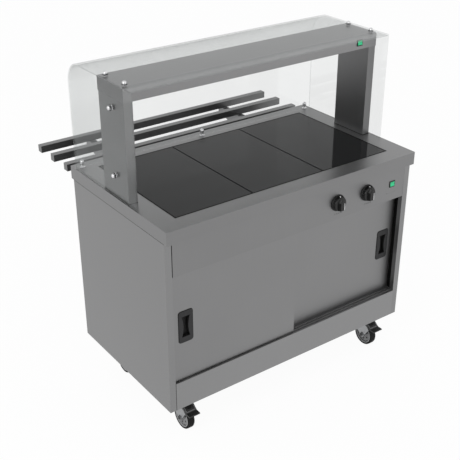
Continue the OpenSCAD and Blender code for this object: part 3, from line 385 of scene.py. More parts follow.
# One satin stainless for all the sheet steel; the factor on STEEL for each part below is painted light and
# shade for how light falls on that part, darker for the uprights, rails and worktop, lighter for the plinth
# and bottom track.
STEEL = (0.25, 0.25, 0.252)
M = {
    "side": brushed("steel_side", STEEL, "z"),
    "front": brushed("steel_front", tint(STEEL, 0.92), "z", 0.44),
    "plinth": brushed("steel_plinth", tint(STEEL, 1.08), "z", 0.44),
    "door": brushed("steel_door", tint(STEEL, 0.95), "z", 0.4),
    "top": brushed("steel_worktop", tint(STEEL, 0.88), "x", 0.34),
    "gantry": brushed("steel_gantry", tint(STEEL, 0.92), "x", 0.38),
    "upright": brushed("steel_upright", tint(STEEL, 0.76), "z", 0.36),
    "rail": brushed("steel_rail", tint(STEEL, 0.68), "x", 0.3),
    "bracket": brushed("steel_bracket", tint(STEEL, 0.85), "y", 0.36),
    "inner": brushed("steel_inner", tint(STEEL, 1.1), "x", 0.3),
    "track": brushed("steel_track", tint(STEEL, 1.2), "x", 0.5, 0.12),
    "reflector": brushed("steel_reflector", (0.6, 0.6, 0.605), "x", 0.14, 0.03),
    "element": brushed("element_sheath", (0.15, 0.12, 0.1), "x", 0.5, 0.2),
    "plate": brushed("blank_plate", grey(0.42), "x", 0.3),
    "zinc": polished("zinc_plate", (0.34, 0.345, 0.352), 0.38),
    "chrome": polished("bright_chrome", (0.66, 0.66, 0.67), 0.08),
    "hot": dark_glass("hot_glass", (0.006, 0.0062, 0.0065)),
    "clear": clear_glass("screen_clear", (0.98, 0.984, 0.983)),
    "quartz": clear_glass("quartz_clear", (0.9, 0.86, 0.78), haze=0.06),
    "black": plastic("moulded_black", grey(0.012), 0.38, coat=0.15),
    "gloss": plastic("moulded_gloss", grey(0.005), 0.3, depth=0.04, coat=0.1),
    "pull": plastic("moulded_grey", (0.02, 0.02, 0.021), 0.5),
    "frame": plastic("pedal_frame", (0.14, 0.14, 0.143), 0.45),
    # Near-black for the pull gaskets and pedal marks, and as painted shade in the pull recesses and in the
    # wheels' groove and windows.
    "recess": plastic("moulded_black_and_painted_shade", grey(0.004), 0.6),
    "cream": plastic("moulded_cream", (0.6, 0.56, 0.45), 0.5),
    "nylon": plastic("moulded_nylon", (0.78, 0.77, 0.72), 0.42, 600),
    "ceramic": plastic("lamp_ceramic", (0.82, 0.8, 0.75), 0.6, 700),
    "wheel": plastic("moulded_wheel", (0.25, 0.25, 0.253), 0.4),
    "rim": plastic("wheel_rim", (0.4, 0.4, 0.405), 0.33),
    # White for the printed dot on the knobs, and for the painted highlight on their grips.
    "white": plastic("print_and_painted_highlight_white", grey(0.85), 0.5, 900, 0.03),
    "ink": plastic("print_dark", grey(0.006), 0.7, 900, 0.03),
    "tyre": rubber("tyre_rubber", grey(0.011)),
    # Black silicone for beads and washers, and as painted shade for the strips under the worktop's lip and
    # on the jambs.
    "seal": rubber("silicone_and_painted_shade", grey(0.003), 0.6, 0.04),
    "mat": rubber("heater_silicone", (0.35, 0.13, 0.05), 0.6),
    "green": lens("rocker_green", (0.03, 0.55, 0.24), 0.12),
}
NODE_MATERIALS = {
    "side": each("side_panel", SIDES),
    "front": ["back_panel", "control_fascia"],
    "plinth": ["front_plinth"],
    "door": each("door", SIDES),
    "top": ["worktop"],
    "gantry": ["canopy"],
    "upright": each("upright", SIDES),
    "rail": ["tray_rails"],
    "bracket": ["tray_brackets"],
    "inner": ["base_pan", "cupboard_liner", "shelf", "top_track", "hot_top_tray", "lamp_holders"],
    "track": ["bottom_track"],
    "reflector": ["lamp_reflector"],
    "element": ["cupboard_element"],
    "zinc": ["castor_plates"] + each("fork", CASTORS),
    "chrome": ["glass_fixings", "clamp_posts"],
    "hot": HOT_TILES,
    "clear": ["screen_glass"] + each("end_glass", SIDES),
    "quartz": ["quartz_lamps"],
    "black": ["hot_top_knob", "cupboard_knob", "mains_gland"] + each("pedal", BRAKED),
    "gloss": ["switch_bodies"],
    "pull": each("door_pull", SIDES),
    "cream": ["thermostats"],
    "nylon": each("door_glides", SIDES),
    "wheel": each("hub", CASTORS),
    "tyre": each("tyre", CASTORS),
    "seal": ["glass_seal"],
    "mat": ["heater_mats"],
    "green": ["fascia_rocker", "gantry_rocker"],
}
for key, names in NODE_MATERIALS.items():
    for node in names:
        slots = nodes[node].data.materials
        slots.clear()
        slots.append(M[key])


# Mesh helpers

ON_AXIS = 1e-6
HEX = 6
STUD_SIDES = 16
SCREW_SIDES = 20
FIXING_SIDES = 28


def add_piece(name, bm, material, body, replaced=(), smooth_deg=35):
    """Piece of one material from a finished bmesh, smooth but for its sharp edges, that rides on a body."""
    mesh = bpy.data.meshes.new(name)
    bmesh.ops.recalc_face_normals(bm, faces=bm.faces)
    bm.to_mesh(mesh)
    bm.free()
    for polygon in mesh.polygons:
        polygon.use_smooth = True
    mesh.set_sharp_from_angle(angle=math.radians(smooth_deg))
    mesh.materials.append(M[material])
    piece = bpy.data.objects.new(name, mesh)
    scene.collection.objects.link(piece)
    if replaced:
        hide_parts(*replaced)
    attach(piece, body)
    return piece


def round_edges(piece, width, segments=2, sharp_deg=40):
    """Rounds an object's sharp edges with a bevel modifier."""
    bevel = piece.modifiers.new("edges", "BEVEL")
    bevel.width = width
    bevel.segments = segments
    bevel.limit_method = "ANGLE"
    bevel.angle_limit = math.radians(sharp_deg)


def facing(place, direction):
    """Matrix whose Z axis points along a direction from a place."""
    turn = Vector(direction).to_track_quat("Z", "Y").to_matrix().to_4x4()
    return Matrix.Translation(place) @ turn


def lathe(bm, profile, matrix, segments=32):
    """Turns (radius, height) points about a matrix's Z axis; a closed line of points gives a ring."""
    closed = profile[0] == profile[-1]
    turn = 2 * math.pi / segments
    rings = []
    for radius, height in profile[:-1] if closed else profile:
        if radius < ON_AXIS:
            rings.append([bm.verts.new(matrix @ Vector((0, 0, height)))])
            continue
        ring = [(radius * math.cos(i * turn), radius * math.sin(i * turn), height) for i in range(segments)]
        rings.append([bm.verts.new(matrix @ Vector(point)) for point in ring])
    following = rings[1:] + rings[:1] if closed else rings[1:]
    for a, b in zip(rings, following):
        for i in range(segments):
            j = (i + 1) % segments
            face = dict.fromkeys([a[i % len(a)], a[j % len(a)], b[j % len(b)], b[i % len(b)]])
            if len(face) > 2:
                bm.faces.new(face)
    for ring in () if closed else (rings[0], rings[-1]):
        if len(ring) > 2:
            bm.faces.new(ring)


def rod(bm, radius, start, end, matrix, segments):
    """Straight rod between two heights on a matrix's Z axis; with six segments it is a nut."""
    lathe(bm, [(radius, start), (radius, end)], matrix, segments)


def loft(bm, lines, ring=False):
    """Faces from each closed line of vertices to the next, and for a ring from the last to the first."""
    for a, b in zip(lines, lines[1:] + lines[:1] if ring else lines[1:]):
        for i in range(len(a)):
            j = (i + 1) % len(a)
            bm.faces.new([a[i], a[j], b[j], b[i]])


def extrude_x(bm, outline, x0, x1):
    """Solid from a YZ outline between two places along X."""
    near = [bm.verts.new((x0, y, z)) for y, z in outline]
    far = [bm.verts.new((x1, y, z)) for y, z in outline]
    bm.faces.new(near)
    bm.faces.new(list(reversed(far)))
    for i in range(len(outline)):
        j = (i + 1) % len(outline)
        bm.faces.new([near[j], near[i], far[i], far[j]])


def block(bm, low, high, bevel=0.0, segments=2, matrix=None):
    """Box between two corners with rounded edges."""
    size = [h - l for l, h in zip(low, high)]
    middle = [(l + h) / 2 for l, h in zip(low, high)]
    made = bmesh.ops.create_cube(bm, size=1.0)["verts"]
    bmesh.ops.scale(bm, vec=size, verts=made)
    bmesh.ops.translate(bm, vec=middle, verts=made)
    if bevel:
        edges = list({e for v in made for e in v.link_edges})
        rounded = bmesh.ops.bevel(
            bm, geom=edges, offset=bevel, segments=segments, affect="EDGES", profile=0.5)["faces"]
        made = list({v for f in rounded for v in f.verts} | {v for v in made if v.is_valid})
    if matrix is not None:
        bmesh.ops.transform(bm, matrix=matrix, verts=made)


def block_frame(bm, low, high, width, bevel, matrix=None):
    """Frame of four blocks, of a width in plan, just inside the box between two corners."""
    x0, y0, z0 = low
    x1, y1, z1 = high
    block(bm, low, (x1, y0 + width, z1), bevel, matrix=matrix)
    block(bm, (x0, y1 - width, z0), high, bevel, matrix=matrix)
    block(bm, (x0, y0 + width, z0), (x0 + width, y1 - width, z1), bevel, matrix=matrix)
    block(bm, (x1 - width, y0 + width, z0), (x1, y1 - width, z1), bevel, matrix=matrix)


# Glass screen

ARRIS = 0.6 * MM
ARRIS_SHARP_DEG = 50
END_PANE_CLEAR = 0.2 * MM


def bend_line(inset, foot, steps=28):
    """Side view of the bent sheet: from its front edge along the top, round the bend and down to a foot."""
    y1 = GLASS_HIGH.y - inset
    z1 = GLASS_HIGH.z - inset
    radius = BEND_R - inset
    line = [(GLASS_LOW.y, z1)]
    for i in range(steps + 1):
        angle = math.pi / 2 * (1 - i / steps)
        line.append((y1 - radius + radius * math.cos(angle), z1 - radius + radius * math.sin(angle)))
    line.append((y1, foot))
    return line


def make_screen():
    """Bent sheet with a smooth bend, made of strips between its outer and inner line."""
    outer = bend_line(0, GLASS_LOW.z)
    inner = bend_line(PANE, GLASS_LOW.z)
    bm = bmesh.new()
    rows = []
    for x in (GLASS_LOW.x, GLASS_HIGH.x):
        for line in (outer, inner):
            rows.append([bm.verts.new((x, y, z)) for y, z in line])
    left_out, left_in, right_out, right_in = rows
    last = len(outer) - 1
    for i in range(last):
        bm.faces.new([left_out[i], left_out[i + 1], right_out[i + 1], right_out[i]])
        bm.faces.new([left_in[i + 1], left_in[i], right_in[i], right_in[i + 1]])
        bm.faces.new([left_out[i + 1], left_out[i], left_in[i], left_in[i + 1]])
        bm.faces.new([right_out[i], right_out[i + 1], right_in[i + 1], right_in[i]])
    bm.faces.new([left_out[0], right_out[0], right_in[0], left_in[0]])
    bm.faces.new([right_out[last], left_out[last], left_in[last], right_in[last]])
    sheet = add_piece("screen_sheet", bm, "clear", "counter", ["screen_glass"])
    round_edges(sheet, ARRIS, sharp_deg=ARRIS_SHARP_DEG)


def make_end_panes():
    """Flat end panes that follow the inside of the bent sheet."""
    outline = bend_line(PANE + END_PANE_CLEAR, TOP_Z) + [(GLASS_LOW.y, TOP_Z)]
    for side in SIDES:
        low, high = corners(f"{side}_end_glass")
        bm = bmesh.new()
        extrude_x(bm, outline, low.x, high.x)
        pane = add_piece(f"{side}_end_pane", bm, "clear", "counter", [f"{side}_end_glass"])
        round_edges(pane, ARRIS, sharp_deg=ARRIS_SHARP_DEG)


# Sealant, joints and black strips of painted shade

BEAD_LAP = 1.2 * MM
BEAD_WIDTH = 4.4 * MM
BEAD_RISE = 0.45 * MM
BEAD_SUNK = 0.1 * MM
BEAD_ROUND = 0.2 * MM
JOINT_LAP = 1.5 * MM
JOINT_RISE = 0.35 * MM
JOINT_ROUND = 0.15 * MM
LIP_SHADE = 1.7 * MM
LIP_SHADE_HEIGHT = 2 * MM
LIP_SHADE_ROUND = 0.3 * MM
FOOT_BEAD = 1.2 * MM
FOOT_BEAD_ROUND = 0.35 * MM
JAMB_SHADE = 0.7 * MM
JAMB_SHADE_FRONT = 16 * MM
JAMB_SHADE_CLEAR = 0.6 * MM
SMALL_ROUND = 0.2 * MM
FASCIA_JOINT_SUNK = 0.2 * MM
FASCIA_JOINT_DEPTH = 3 * MM
PLINTH_JOINT = 1.8 * MM
PLINTH_JOINT_PROUD = 0.15 * MM
PLINTH_JOINT_DEPTH = 2 * MM
PLINTH_JOINT_ROUND = 0.1 * MM


def make_beads():
    """Silicone beads that lap the hot glass and its joints, and a black strip under the worktop's sides and
    rear as painted shade under the lip.
    """
    low, high = corners("glass_seal")
    bm = bmesh.new()
    block_frame(bm, (low.x - BEAD_LAP, low.y - BEAD_LAP, TOP_Z - BEAD_SUNK),
                (high.x + BEAD_LAP, high.y + BEAD_LAP, TOP_Z + BEAD_RISE), BEAD_WIDTH, BEAD_ROUND)
    for before, after in zip(HOT_TILES, HOT_TILES[1:]):
        x0 = corners(before)[1].x - JOINT_LAP
        x1 = corners(after)[0].x + JOINT_LAP
        block(bm, (x0, low.y, TOP_Z - BEAD_SUNK), (x1, high.y, TOP_Z + JOINT_RISE), JOINT_ROUND)
    add_piece("hot_glass_bead", bm, "seal", "counter")
    # Black strip under the worktop's lip: painted shade below the lip.
    x1 = -corners("left_side_panel")[0].x
    y0, y1 = corners("left_side_panel")[0].y, BACK_HIGH.y
    z0, z1 = TOP_LOW.z - LIP_SHADE_HEIGHT, TOP_LOW.z
    bm = bmesh.new()
    block(bm, (-x1 - LIP_SHADE, y0, z0), (-x1, y1, z1), LIP_SHADE_ROUND)
    block(bm, (x1, y0, z0), (x1 + LIP_SHADE, y1, z1), LIP_SHADE_ROUND)
    block(bm, (-x1, y1, z0), (x1, y1 + LIP_SHADE, z1), LIP_SHADE_ROUND)
    add_piece("worktop_lip_shade", bm, "seal", "counter")


def make_front_joints():
    """Black strips on the jambs as painted shade in the gaps beside the doors, the fascia's filled joint,
    and a black strip in the joint at the plinth's left end.
    """
    door_low = corners("right_door")[0]
    jamb = corners("bottom_track")[1].x
    # Black strips on the jambs: painted shade in the gap beside each door.
    bm = bmesh.new()
    for side in (-1, 1):
        x0, x1 = sorted((side * jamb, side * (jamb - JAMB_SHADE)))
        block(bm, (x0, door_low.y - JAMB_SHADE_FRONT, door_low.z),
              (x1, door_low.y - JAMB_SHADE_CLEAR, FASCIA_LOW.z), SMALL_ROUND)
    add_piece("jamb_shade_strips", bm, "seal", "counter")
    bm = bmesh.new()
    block(bm, (FASCIA_HIGH.x, FASCIA_LOW.y + FASCIA_JOINT_SUNK, FASCIA_LOW.z),
          (jamb, FASCIA_LOW.y + FASCIA_JOINT_DEPTH, TOP_LOW.z), SMALL_ROUND)
    add_piece("fascia_joint", bm, "front", "counter")
    low, high = corners("front_plinth")
    bm = bmesh.new()
    block(bm, (low.x, low.y - PLINTH_JOINT_PROUD, low.z),
          (low.x + PLINTH_JOINT, low.y + PLINTH_JOINT_DEPTH, high.z), PLINTH_JOINT_ROUND)
    add_piece("plinth_joint", bm, "seal", "counter")


def make_gantry_feet():
    """Fine black sealant bead round the foot of each upright."""
    for side in SIDES:
        low, high = corners(f"{side}_upright")
        bm = bmesh.new()
        block_frame(bm, (low.x - FOOT_BEAD, low.y - FOOT_BEAD, TOP_Z),
                    (high.x + FOOT_BEAD, high.y + FOOT_BEAD, TOP_Z + FOOT_BEAD), FOOT_BEAD, FOOT_BEAD_ROUND)
        add_piece(f"{side}_upright_bead", bm, "seal", "counter")


# Fixings; here and below a turned profile is a list of radius and height in millimetres

DOME = [(0, 12), (2.5, 11.7), (5, 10.7), (6.9, 9.1), (7.8, 7.2), (8, 5.4), (8, 3.4), (7.1, 2.9), (7.1, 2.3),
        (8, 1.8), (8, 0.3), (7.7, 0)]
WASHER = [(9.6, 0.9), (10, 0.6), (10, 0)]
POST = [(0, 30), (2.6, 29.7), (5.4, 28.5), (7.2, 26.6), (8, 24.2), (8, 13.4), (7.6, 12.7), (6.3, 12.2),
        (6.3, 5.6), (7, 3.8), (8.4, 3), (10, 2.8), (10.4, 2.4), (10.4, 0.4), (10, 0)]
STUD_R = 3 * MM
NUT_R = 5.7 * MM
NUT_HEIGHT = 6 * MM
SPACER_R = 8 * MM
SPACER = 1.5 * MM
CANOPY_SHEET = 1.5 * MM
TOP_FIXING_FRONT = 15.7 * MM
TOP_FIXING_REAR = 30 * MM
TOP_FIXING_IN = 17 * MM
END_FIXING_RISES = mm(84, 330)
END_FIXING_FORWARD = 1 / 25


def fixing_places():
    """Place and outward direction of each domed fixing."""
    depth = CANOPY_HIGH.y - CANOPY_LOW.y
    end_y = (CANOPY_LOW.y + CANOPY_HIGH.y) / 2 - depth * END_FIXING_FORWARD
    places = []
    for side in (-1, 1):
        for y in (CANOPY_LOW.y + TOP_FIXING_FRONT, CANOPY_HIGH.y - TOP_FIXING_REAR):
            places.append(((side * (CANOPY_HIGH.x - TOP_FIXING_IN), y, GLASS_HIGH.z), (0, 0, 1)))
        for rise in END_FIXING_RISES:
            places.append(((side * (CANOPY_HIGH.x + PANE), end_y, TOP_Z + rise), (side, 0, 0)))
    return places


def make_fixings():
    """Bright domed nuts with studs and inner nuts, on black washers; those at the ends have a spacer."""
    parts = bmesh.new()
    washers = bmesh.new()
    for place, direction in fixing_places():
        spot = facing(place, direction)
        on_top = direction[2] > 0
        inside = -PANE - CANOPY_SHEET - (0 if on_top else SPACER)
        lathe(parts, scaled(DOME), spot, FIXING_SIDES)
        rod(parts, STUD_R, 0, inside - NUT_HEIGHT, spot, STUD_SIDES)
        rod(parts, NUT_R, inside, inside - NUT_HEIGHT, spot, HEX)
        if not on_top:
            rod(parts, SPACER_R, -PANE, -PANE - SPACER, spot, FIXING_SIDES)
        lathe(washers, scaled(WASHER), spot, FIXING_SIDES)
    add_piece("fixing_nuts", parts, "chrome", "counter", ["glass_fixings"])
    add_piece("fixing_washers", washers, "seal", "counter")


def make_posts():
    """Turned posts with domed heads at the foot of the customer side glass."""
    low, high = corners("clamp_posts")
    middle = (low + high) / 2
    radius = (high.y - low.y) / 2
    bm = bmesh.new()
    for x in (low.x + radius, middle.x, high.x - radius):
        lathe(bm, scaled(POST), facing((x, middle.y, TOP_Z), (0, 0, 1)))
    add_piece("turned_posts", bm, "chrome", "counter", ["clamp_posts"])


# Knobs and printed scales

SKIRT = [(0, 18), (25.2, 18), (26.8, 17.6), (27.6, 16.4), (28.4, 14), (31, 4.6), (31.6, 3.2), (33, 2.4),
         (33, 0.7), (32.4, 0), (27, 0), (27, 1)]
FLUTES = 28
SIDES_A_FLUTE = 4
FLUTE_DEPTH = 0.022
FLUTE_FOOT, FLUTE_TOP = mm(4, 15)
GRIP_FOOT = [(-12, -24.4), (12, -24.4), (12, 9), (3, 26), (-3, 26), (-12, 9)]
GRIP_TOP = [(-9.4, -22.4), (9.4, -22.4), (9.4, 8.6), (2.4, 12.8), (-2.4, 12.8), (-9.4, 8.6)]
GRIP_LEVELS = [(0.0, 17.5), (0.3, 22), (0.94, 29), (1.0, 29.7)]
KNOB_CLEAR = 1 * MM
KNOB_EDGE = 0.8 * MM
DOT = [(0, 0.9), (2.2, 0.7), (2.7, 0)]
DOT_PLACE = Vector(mm(0, 29, 12))
DOT_FACING = (0, -0.28, 0.96)
# White strip along the grip's right edge: a painted highlight where the edge would catch the light.
PAINTED_HIGHLIGHT_LINE = mm(7.2, -21.4, 29.2), mm(9.2, 7.6, 29.9)
PAINTED_HIGHLIGHT_ROUND = 0.2 * MM
SPINDLE_R = 3 * MM
SPINDLE_BACK, SPINDLE_FRONT = mm(17, -8)
PRINT_SIZE = 7 * MM
PRINT_GAP = 0.05 * MM
PRINT_HALF = 0.03 * MM
KNOB_WORDS = "0  30  60  90"
SWITCH_WORDS = "0  -  -  -  -  -  -  1"
SCALES = [
    {"name": "hot_top_scale", "above": "hot_top_knob", "right": 5.5, "below": 15.5, "words": KNOB_WORDS},
    {"name": "cupboard_scale", "above": "cupboard_knob", "right": 7.5, "below": 16.5, "words": KNOB_WORDS},
    {"name": "switch_scale", "above": "fascia_rocker", "right": -2, "below": 29.4, "words": SWITCH_WORDS},
]


def make_knob(name):
    """Fluted skirt and bar grip with a pointed end, a white dot beyond it, and a white strip on the grip's
    right edge as a painted highlight.
    """
    low, high = corners(name)
    centre = Vector(((low.x + high.x) / 2, FASCIA_LOW.y - KNOB_CLEAR, (low.z + high.z) / 2))
    spot = facing(centre, (0, -1, 0))
    bm = bmesh.new()
    lathe(bm, scaled(SKIRT), Matrix(), FLUTES * SIDES_A_FLUTE)
    for v in bm.verts:
        if FLUTE_FOOT < v.co.z < FLUTE_TOP:
            v.co.xy *= 1 - FLUTE_DEPTH * math.cos(FLUTES * math.atan2(v.co.y, v.co.x))
    rings = []
    for share, height in GRIP_LEVELS:
        points = [Vector(a).lerp(Vector(b), share) for a, b in zip(GRIP_FOOT, GRIP_TOP)]
        rings.append([bm.verts.new(mm(x, y, height)) for x, y in points])
    loft(bm, rings)
    bm.faces.new(rings[-1])
    bmesh.ops.transform(bm, matrix=spot, verts=bm.verts)
    knob = add_piece(f"{name}_moulding", bm, "gloss", name, [name], smooth_deg=28)
    round_edges(knob, KNOB_EDGE, segments=3, sharp_deg=35)
    marks = bmesh.new()
    lathe(marks, scaled(DOT), facing(spot @ DOT_PLACE, DOT_FACING), SCREW_SIDES)
    # The white strip on the grip's edge is a painted highlight; the dot is print.
    block(marks, *PAINTED_HIGHLIGHT_LINE, PAINTED_HIGHLIGHT_ROUND, segments=1, matrix=spot)
    add_piece(f"{name}_pointer_and_painted_highlight", marks, "white", name)
    bm = bmesh.new()
    rod(bm, SPINDLE_R, SPINDLE_BACK, SPINDLE_FRONT, facing(centre, (0, 1, 0)), SCREW_SIDES)
    add_piece(f"{name}_spindle", bm, "zinc", name)


def print_scale(name, above, right, below, words):
    """Printed scale, so many millimetres right of a control's middle and below its lower edge."""
    low, high = corners(above)
    data = bpy.data.curves.new(name, "FONT")
    data.body = words
    data.size = PRINT_SIZE
    data.align_x = "CENTER"
    data.extrude = PRINT_HALF
    data.materials.append(M["ink"])
    print_ = bpy.data.objects.new(name, data)
    print_.location = ((low.x + high.x) / 2 + right * MM, FASCIA_LOW.y - PRINT_GAP, low.z - below * MM)
    print_.rotation_euler = (math.radians(90), 0, 0)
    scene.collection.objects.link(print_)
    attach(print_, "counter")


# Door pulls

# In millimetres; the gasket pairs growth, and the recess shade inset, with depth behind the flange's front
FLANGE_CORNER = 9
GASKET = [(0.1, 2.0), (0.1, 0.5), (0.6, 0.2), (1.9, 0.9), (2.2, 2.0)]
RECESS_SHADE = [(-0.3, -0.15), (0.15, 0.1), (0.3, 1.0), (1.2, 14.4)]
RECESS_HALF_W = 17
RECESS_HALF_H = 42
RECESS_PINCH = 7


def rounded_line(half_w, half_h, radius, steps=6):
    """Outline of a rectangle with round corners, round the origin."""
    line = []
    for cx, cz, start in ((1, 1, 0), (-1, 1, 90), (-1, -1, 180), (1, -1, 270)):
        for i in range(steps + 1):
            angle = math.radians(start + 90 * i / steps)
            line.append((cx * (half_w - radius) + radius * math.cos(angle),
                         cz * (half_h - radius) + radius * math.sin(angle)))
    return line


def recess_line(inset, steps=14):
    """Outline of the finger recess, its long sides bowed inwards, drawn in by an inset."""
    half_w = RECESS_HALF_W - inset
    half_h = RECESS_HALF_H - inset
    radius = (half_h ** 2 + RECESS_PINCH ** 2) / (2 * RECESS_PINCH)
    side = []
    for i in range(steps + 1):
        z = half_h * (1 - 2 * i / steps)
        side.append((half_w - RECESS_PINCH + radius - math.sqrt(radius ** 2 - z ** 2), z))
    return side + [(-x, z) for x, z in reversed(side)]


def front_row(bm, outline, middle, depth):
    """Vertices of a front outline in millimetres, round a middle and at a depth behind it."""
    x0, y0, z0 = middle
    return [bm.verts.new((x0 + x * MM, y0 + depth * MM, z0 + z * MM)) for x, z in outline]


def make_pull_trim(side):
    """Black gasket round a pull's flange, and a near-black layer in its finger recess as painted shade."""
    body = f"{side}_door"
    low, high = corners(f"{side}_door_pull")
    middle = ((low.x + high.x) / 2, low.y, (low.z + high.z) / 2)
    half_w, half_h = (high.x - low.x) / 2 / MM, (high.z - low.z) / 2 / MM
    bm = bmesh.new()
    rows = []
    for grow, depth in GASKET:
        outline = rounded_line(half_w + grow, half_h + grow, FLANGE_CORNER + grow)
        rows.append(front_row(bm, outline, middle, depth))
    loft(bm, rows, ring=True)
    add_piece(f"{side}_pull_gasket", bm, "recess", body)
    bm = bmesh.new()
    # Near-black layer down the finger recess: painted shade in the recess.
    rows = [front_row(bm, recess_line(inset), middle, depth) for inset, depth in RECESS_SHADE]
    loft(bm, rows)
    bm.faces.new(rows[-1])
    add_piece(f"{side}_pull_recess_shade", bm, "recess", body)


# Castors

HALF_TREAD = [(41.8, 13.6), (44.6, 14.8), (47.6, 14.2), (49.4, 12), (50, 9), (50, 5.6), (49.3, 5),
              (49.3, 4.2), (50, 3.6)]
CENTRE = [(5.1, 17.4), (9, 17.4), (10.6, 16.6), (12.6, 12.4), (14.4, 10), (17, 9.3), (33, 9), (34.6, 8.8),
          (35.4, 7.4), (37.4, 7.4)]
RIM = [(37.2, 6.4), (37.6, 12.6), (38.4, 13.4), (41, 13.4), (41.8, 12.6)]
# Near-black ring and window blocks on the wheel centre: painted shade for its groove and holes.
SUNK_RING = [(35.2, 7.6), (37.5, 7.6), (37.5, 7.2), (35.2, 7.2), (35.2, 7.6)]
WINDOWS = 6
WINDOW_INNER, WINDOW_OUTER, WINDOW_HALF = mm(20, 27, 3.5)
WINDOW_SUNK, WINDOW_FACE = mm(8.9, 9.35)
TYRE_SIDES = 72
WHEEL_SIDES = 56
AXLE_NUT = [(0, 6.2), (6.2, 6.2), (7.4, 5.4), (7.4, 1), (10.2, 0.9), (10.2, 0)]
AXLE_NUT_OUT = 21 * MM
PEDAL_MIDDLE = Vector(mm(0, 41, 20))
PEDAL_SLOPE = (0, -30, 38)
PEDAL_MARK = [(0, 0.7), (8.6, 0.7), (10, 1.1), (11, 0.7), (11.2, -0.6)]
PEDAL_FRAME = mm(-21.5, -21, -0.5), mm(21.5, 21, 0.9)
PEDAL_FRAME_WIDTH = 3.5 * MM
PEDAL_FRAME_ROUND = 0.3 * MM
RIBS = 4
RIB_START, RIB_STEP, RIB_WIDTH, RIB_IN = mm(3, 4.6, 1.6, 3)
RIB_FOOT, RIB_TOP = mm(4.6, 5.7)
RIB_ROUND = 0.4 * MM


def both_faces(profile):
    """A half profile and its mirror image, closed into a loop."""
    full = profile + [(radius, -height) for radius, height in reversed(profile)]
    return full + [full[0]]


def make_wheel(castor):
    """Tyre with two fine grooves, and a centre with a bright rim, with near-black pieces in its sunk ring
    and windows as painted shade.
    """
    body = f"{castor}_wheel"
    low, high = corners(f"{castor}_tyre")
    spot = facing((low + high) / 2, (1, 0, 0))
    for ending, profile, segments, material, replaced in (
            ("tread", both_faces(HALF_TREAD), TYRE_SIDES, "tyre", [f"{castor}_tyre"]),
            ("wheel_centre", both_faces(CENTRE), WHEEL_SIDES, "wheel", [f"{castor}_hub"]),
            ("wheel_rim", both_faces(RIM), WHEEL_SIDES, "rim", ())):
        bm = bmesh.new()
        lathe(bm, scaled(profile), spot, segments)
        add_piece(f"{castor}_{ending}", bm, material, body, replaced, smooth_deg=30)
    bm = bmesh.new()
    for side in (-1, 1):
        lathe(bm, [mm(radius, side * height) for radius, height in SUNK_RING], spot, WHEEL_SIDES)
        for i in range(WINDOWS):
            turn = spot @ Matrix.Rotation(2 * math.pi * (i + 0.5) / WINDOWS, 4, "Z")
            block(bm, (WINDOW_INNER, -WINDOW_HALF, side * WINDOW_SUNK),
                  (WINDOW_OUTER, WINDOW_HALF, side * WINDOW_FACE), matrix=turn)
    add_piece(f"{castor}_wheel_slot_shade", bm, "recess", body)


def make_axle_nuts(castor):
    """Black axle nuts on a castor's fork; their black is partly the nuts' own and partly painted shade
    round the axle.
    """
    low, high = corners(f"{castor}_tyre")
    axle = (low + high) / 2
    bm = bmesh.new()
    for side in (-1, 1):
        lathe(bm, scaled(AXLE_NUT), facing(axle + Vector((side * AXLE_NUT_OUT, 0, 0)), (side, 0, 0)), HEX)
    add_piece(f"{castor}_axle_nuts", bm, "black", f"{castor}_fork", smooth_deg=20)


def make_pedal_trim(castor):
    """Frame and round mark on a brake pedal's slope, and grip ribs on its toe."""
    body = f"{castor}_pedal"
    low, high = corners(body)
    spot = facing(Vector(((low.x + high.x) / 2, low.y, low.z)) + PEDAL_MIDDLE, PEDAL_SLOPE)
    bm = bmesh.new()
    lathe(bm, scaled(PEDAL_MARK), spot)
    add_piece(f"{body}_mark", bm, "recess", body)
    bm = bmesh.new()
    block_frame(bm, *PEDAL_FRAME, PEDAL_FRAME_WIDTH, PEDAL_FRAME_ROUND, spot)
    add_piece(f"{body}_frame", bm, "frame", body)
    bm = bmesh.new()
    for i in range(RIBS):
        y = low.y + RIB_START + i * RIB_STEP
        block(bm, (low.x + RIB_IN, y, low.z + RIB_FOOT),
              (high.x - RIB_IN, y + RIB_WIDTH, low.z + RIB_TOP), RIB_ROUND)
    add_piece(f"{body}_ribs", bm, "black", body)


# Gantry lamps

LAMP_GAP = 30 * MM
TUBE_R, BORE_R = mm(5, 4)
TUBE_INSET, BORE_INSET = mm(12, 12.5)
LAMP_CAP = [(0, 0), (6.8, 0), (8, 1.2), (8, 13), (7, 14.4), (5, 15)]
COIL_INSET = 18 * MM
COIL_R = 1.4 * MM
COIL_WIRE_R = 0.25 * MM
COIL_TURNS = 60
COIL_STEPS = 10


def make_filament(name, side, length, y, z):
    """Coiled wire along one lamp, which starts beside the middle of the canopy and runs to one side."""
    coil = bpy.data.curves.new("filament", "CURVE")
    coil.dimensions = "3D"
    coil.bevel_depth = COIL_WIRE_R
    coil.bevel_resolution = 1
    spline = coil.splines.new("POLY")
    last = COIL_TURNS * COIL_STEPS
    spline.points.add(last)
    for i in range(last + 1):
        angle = 2 * math.pi * i / COIL_STEPS
        x = side * (LAMP_GAP + COIL_INSET + (length - 2 * COIL_INSET) * i / last)
        spline.points[i].co = (x, y + COIL_R * math.cos(angle), z + COIL_R * math.sin(angle), 1)
    coil.materials.append(M["zinc"])
    wire = bpy.data.objects.new(name, coil)
    scene.collection.objects.link(wire)
    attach(wire, "counter")


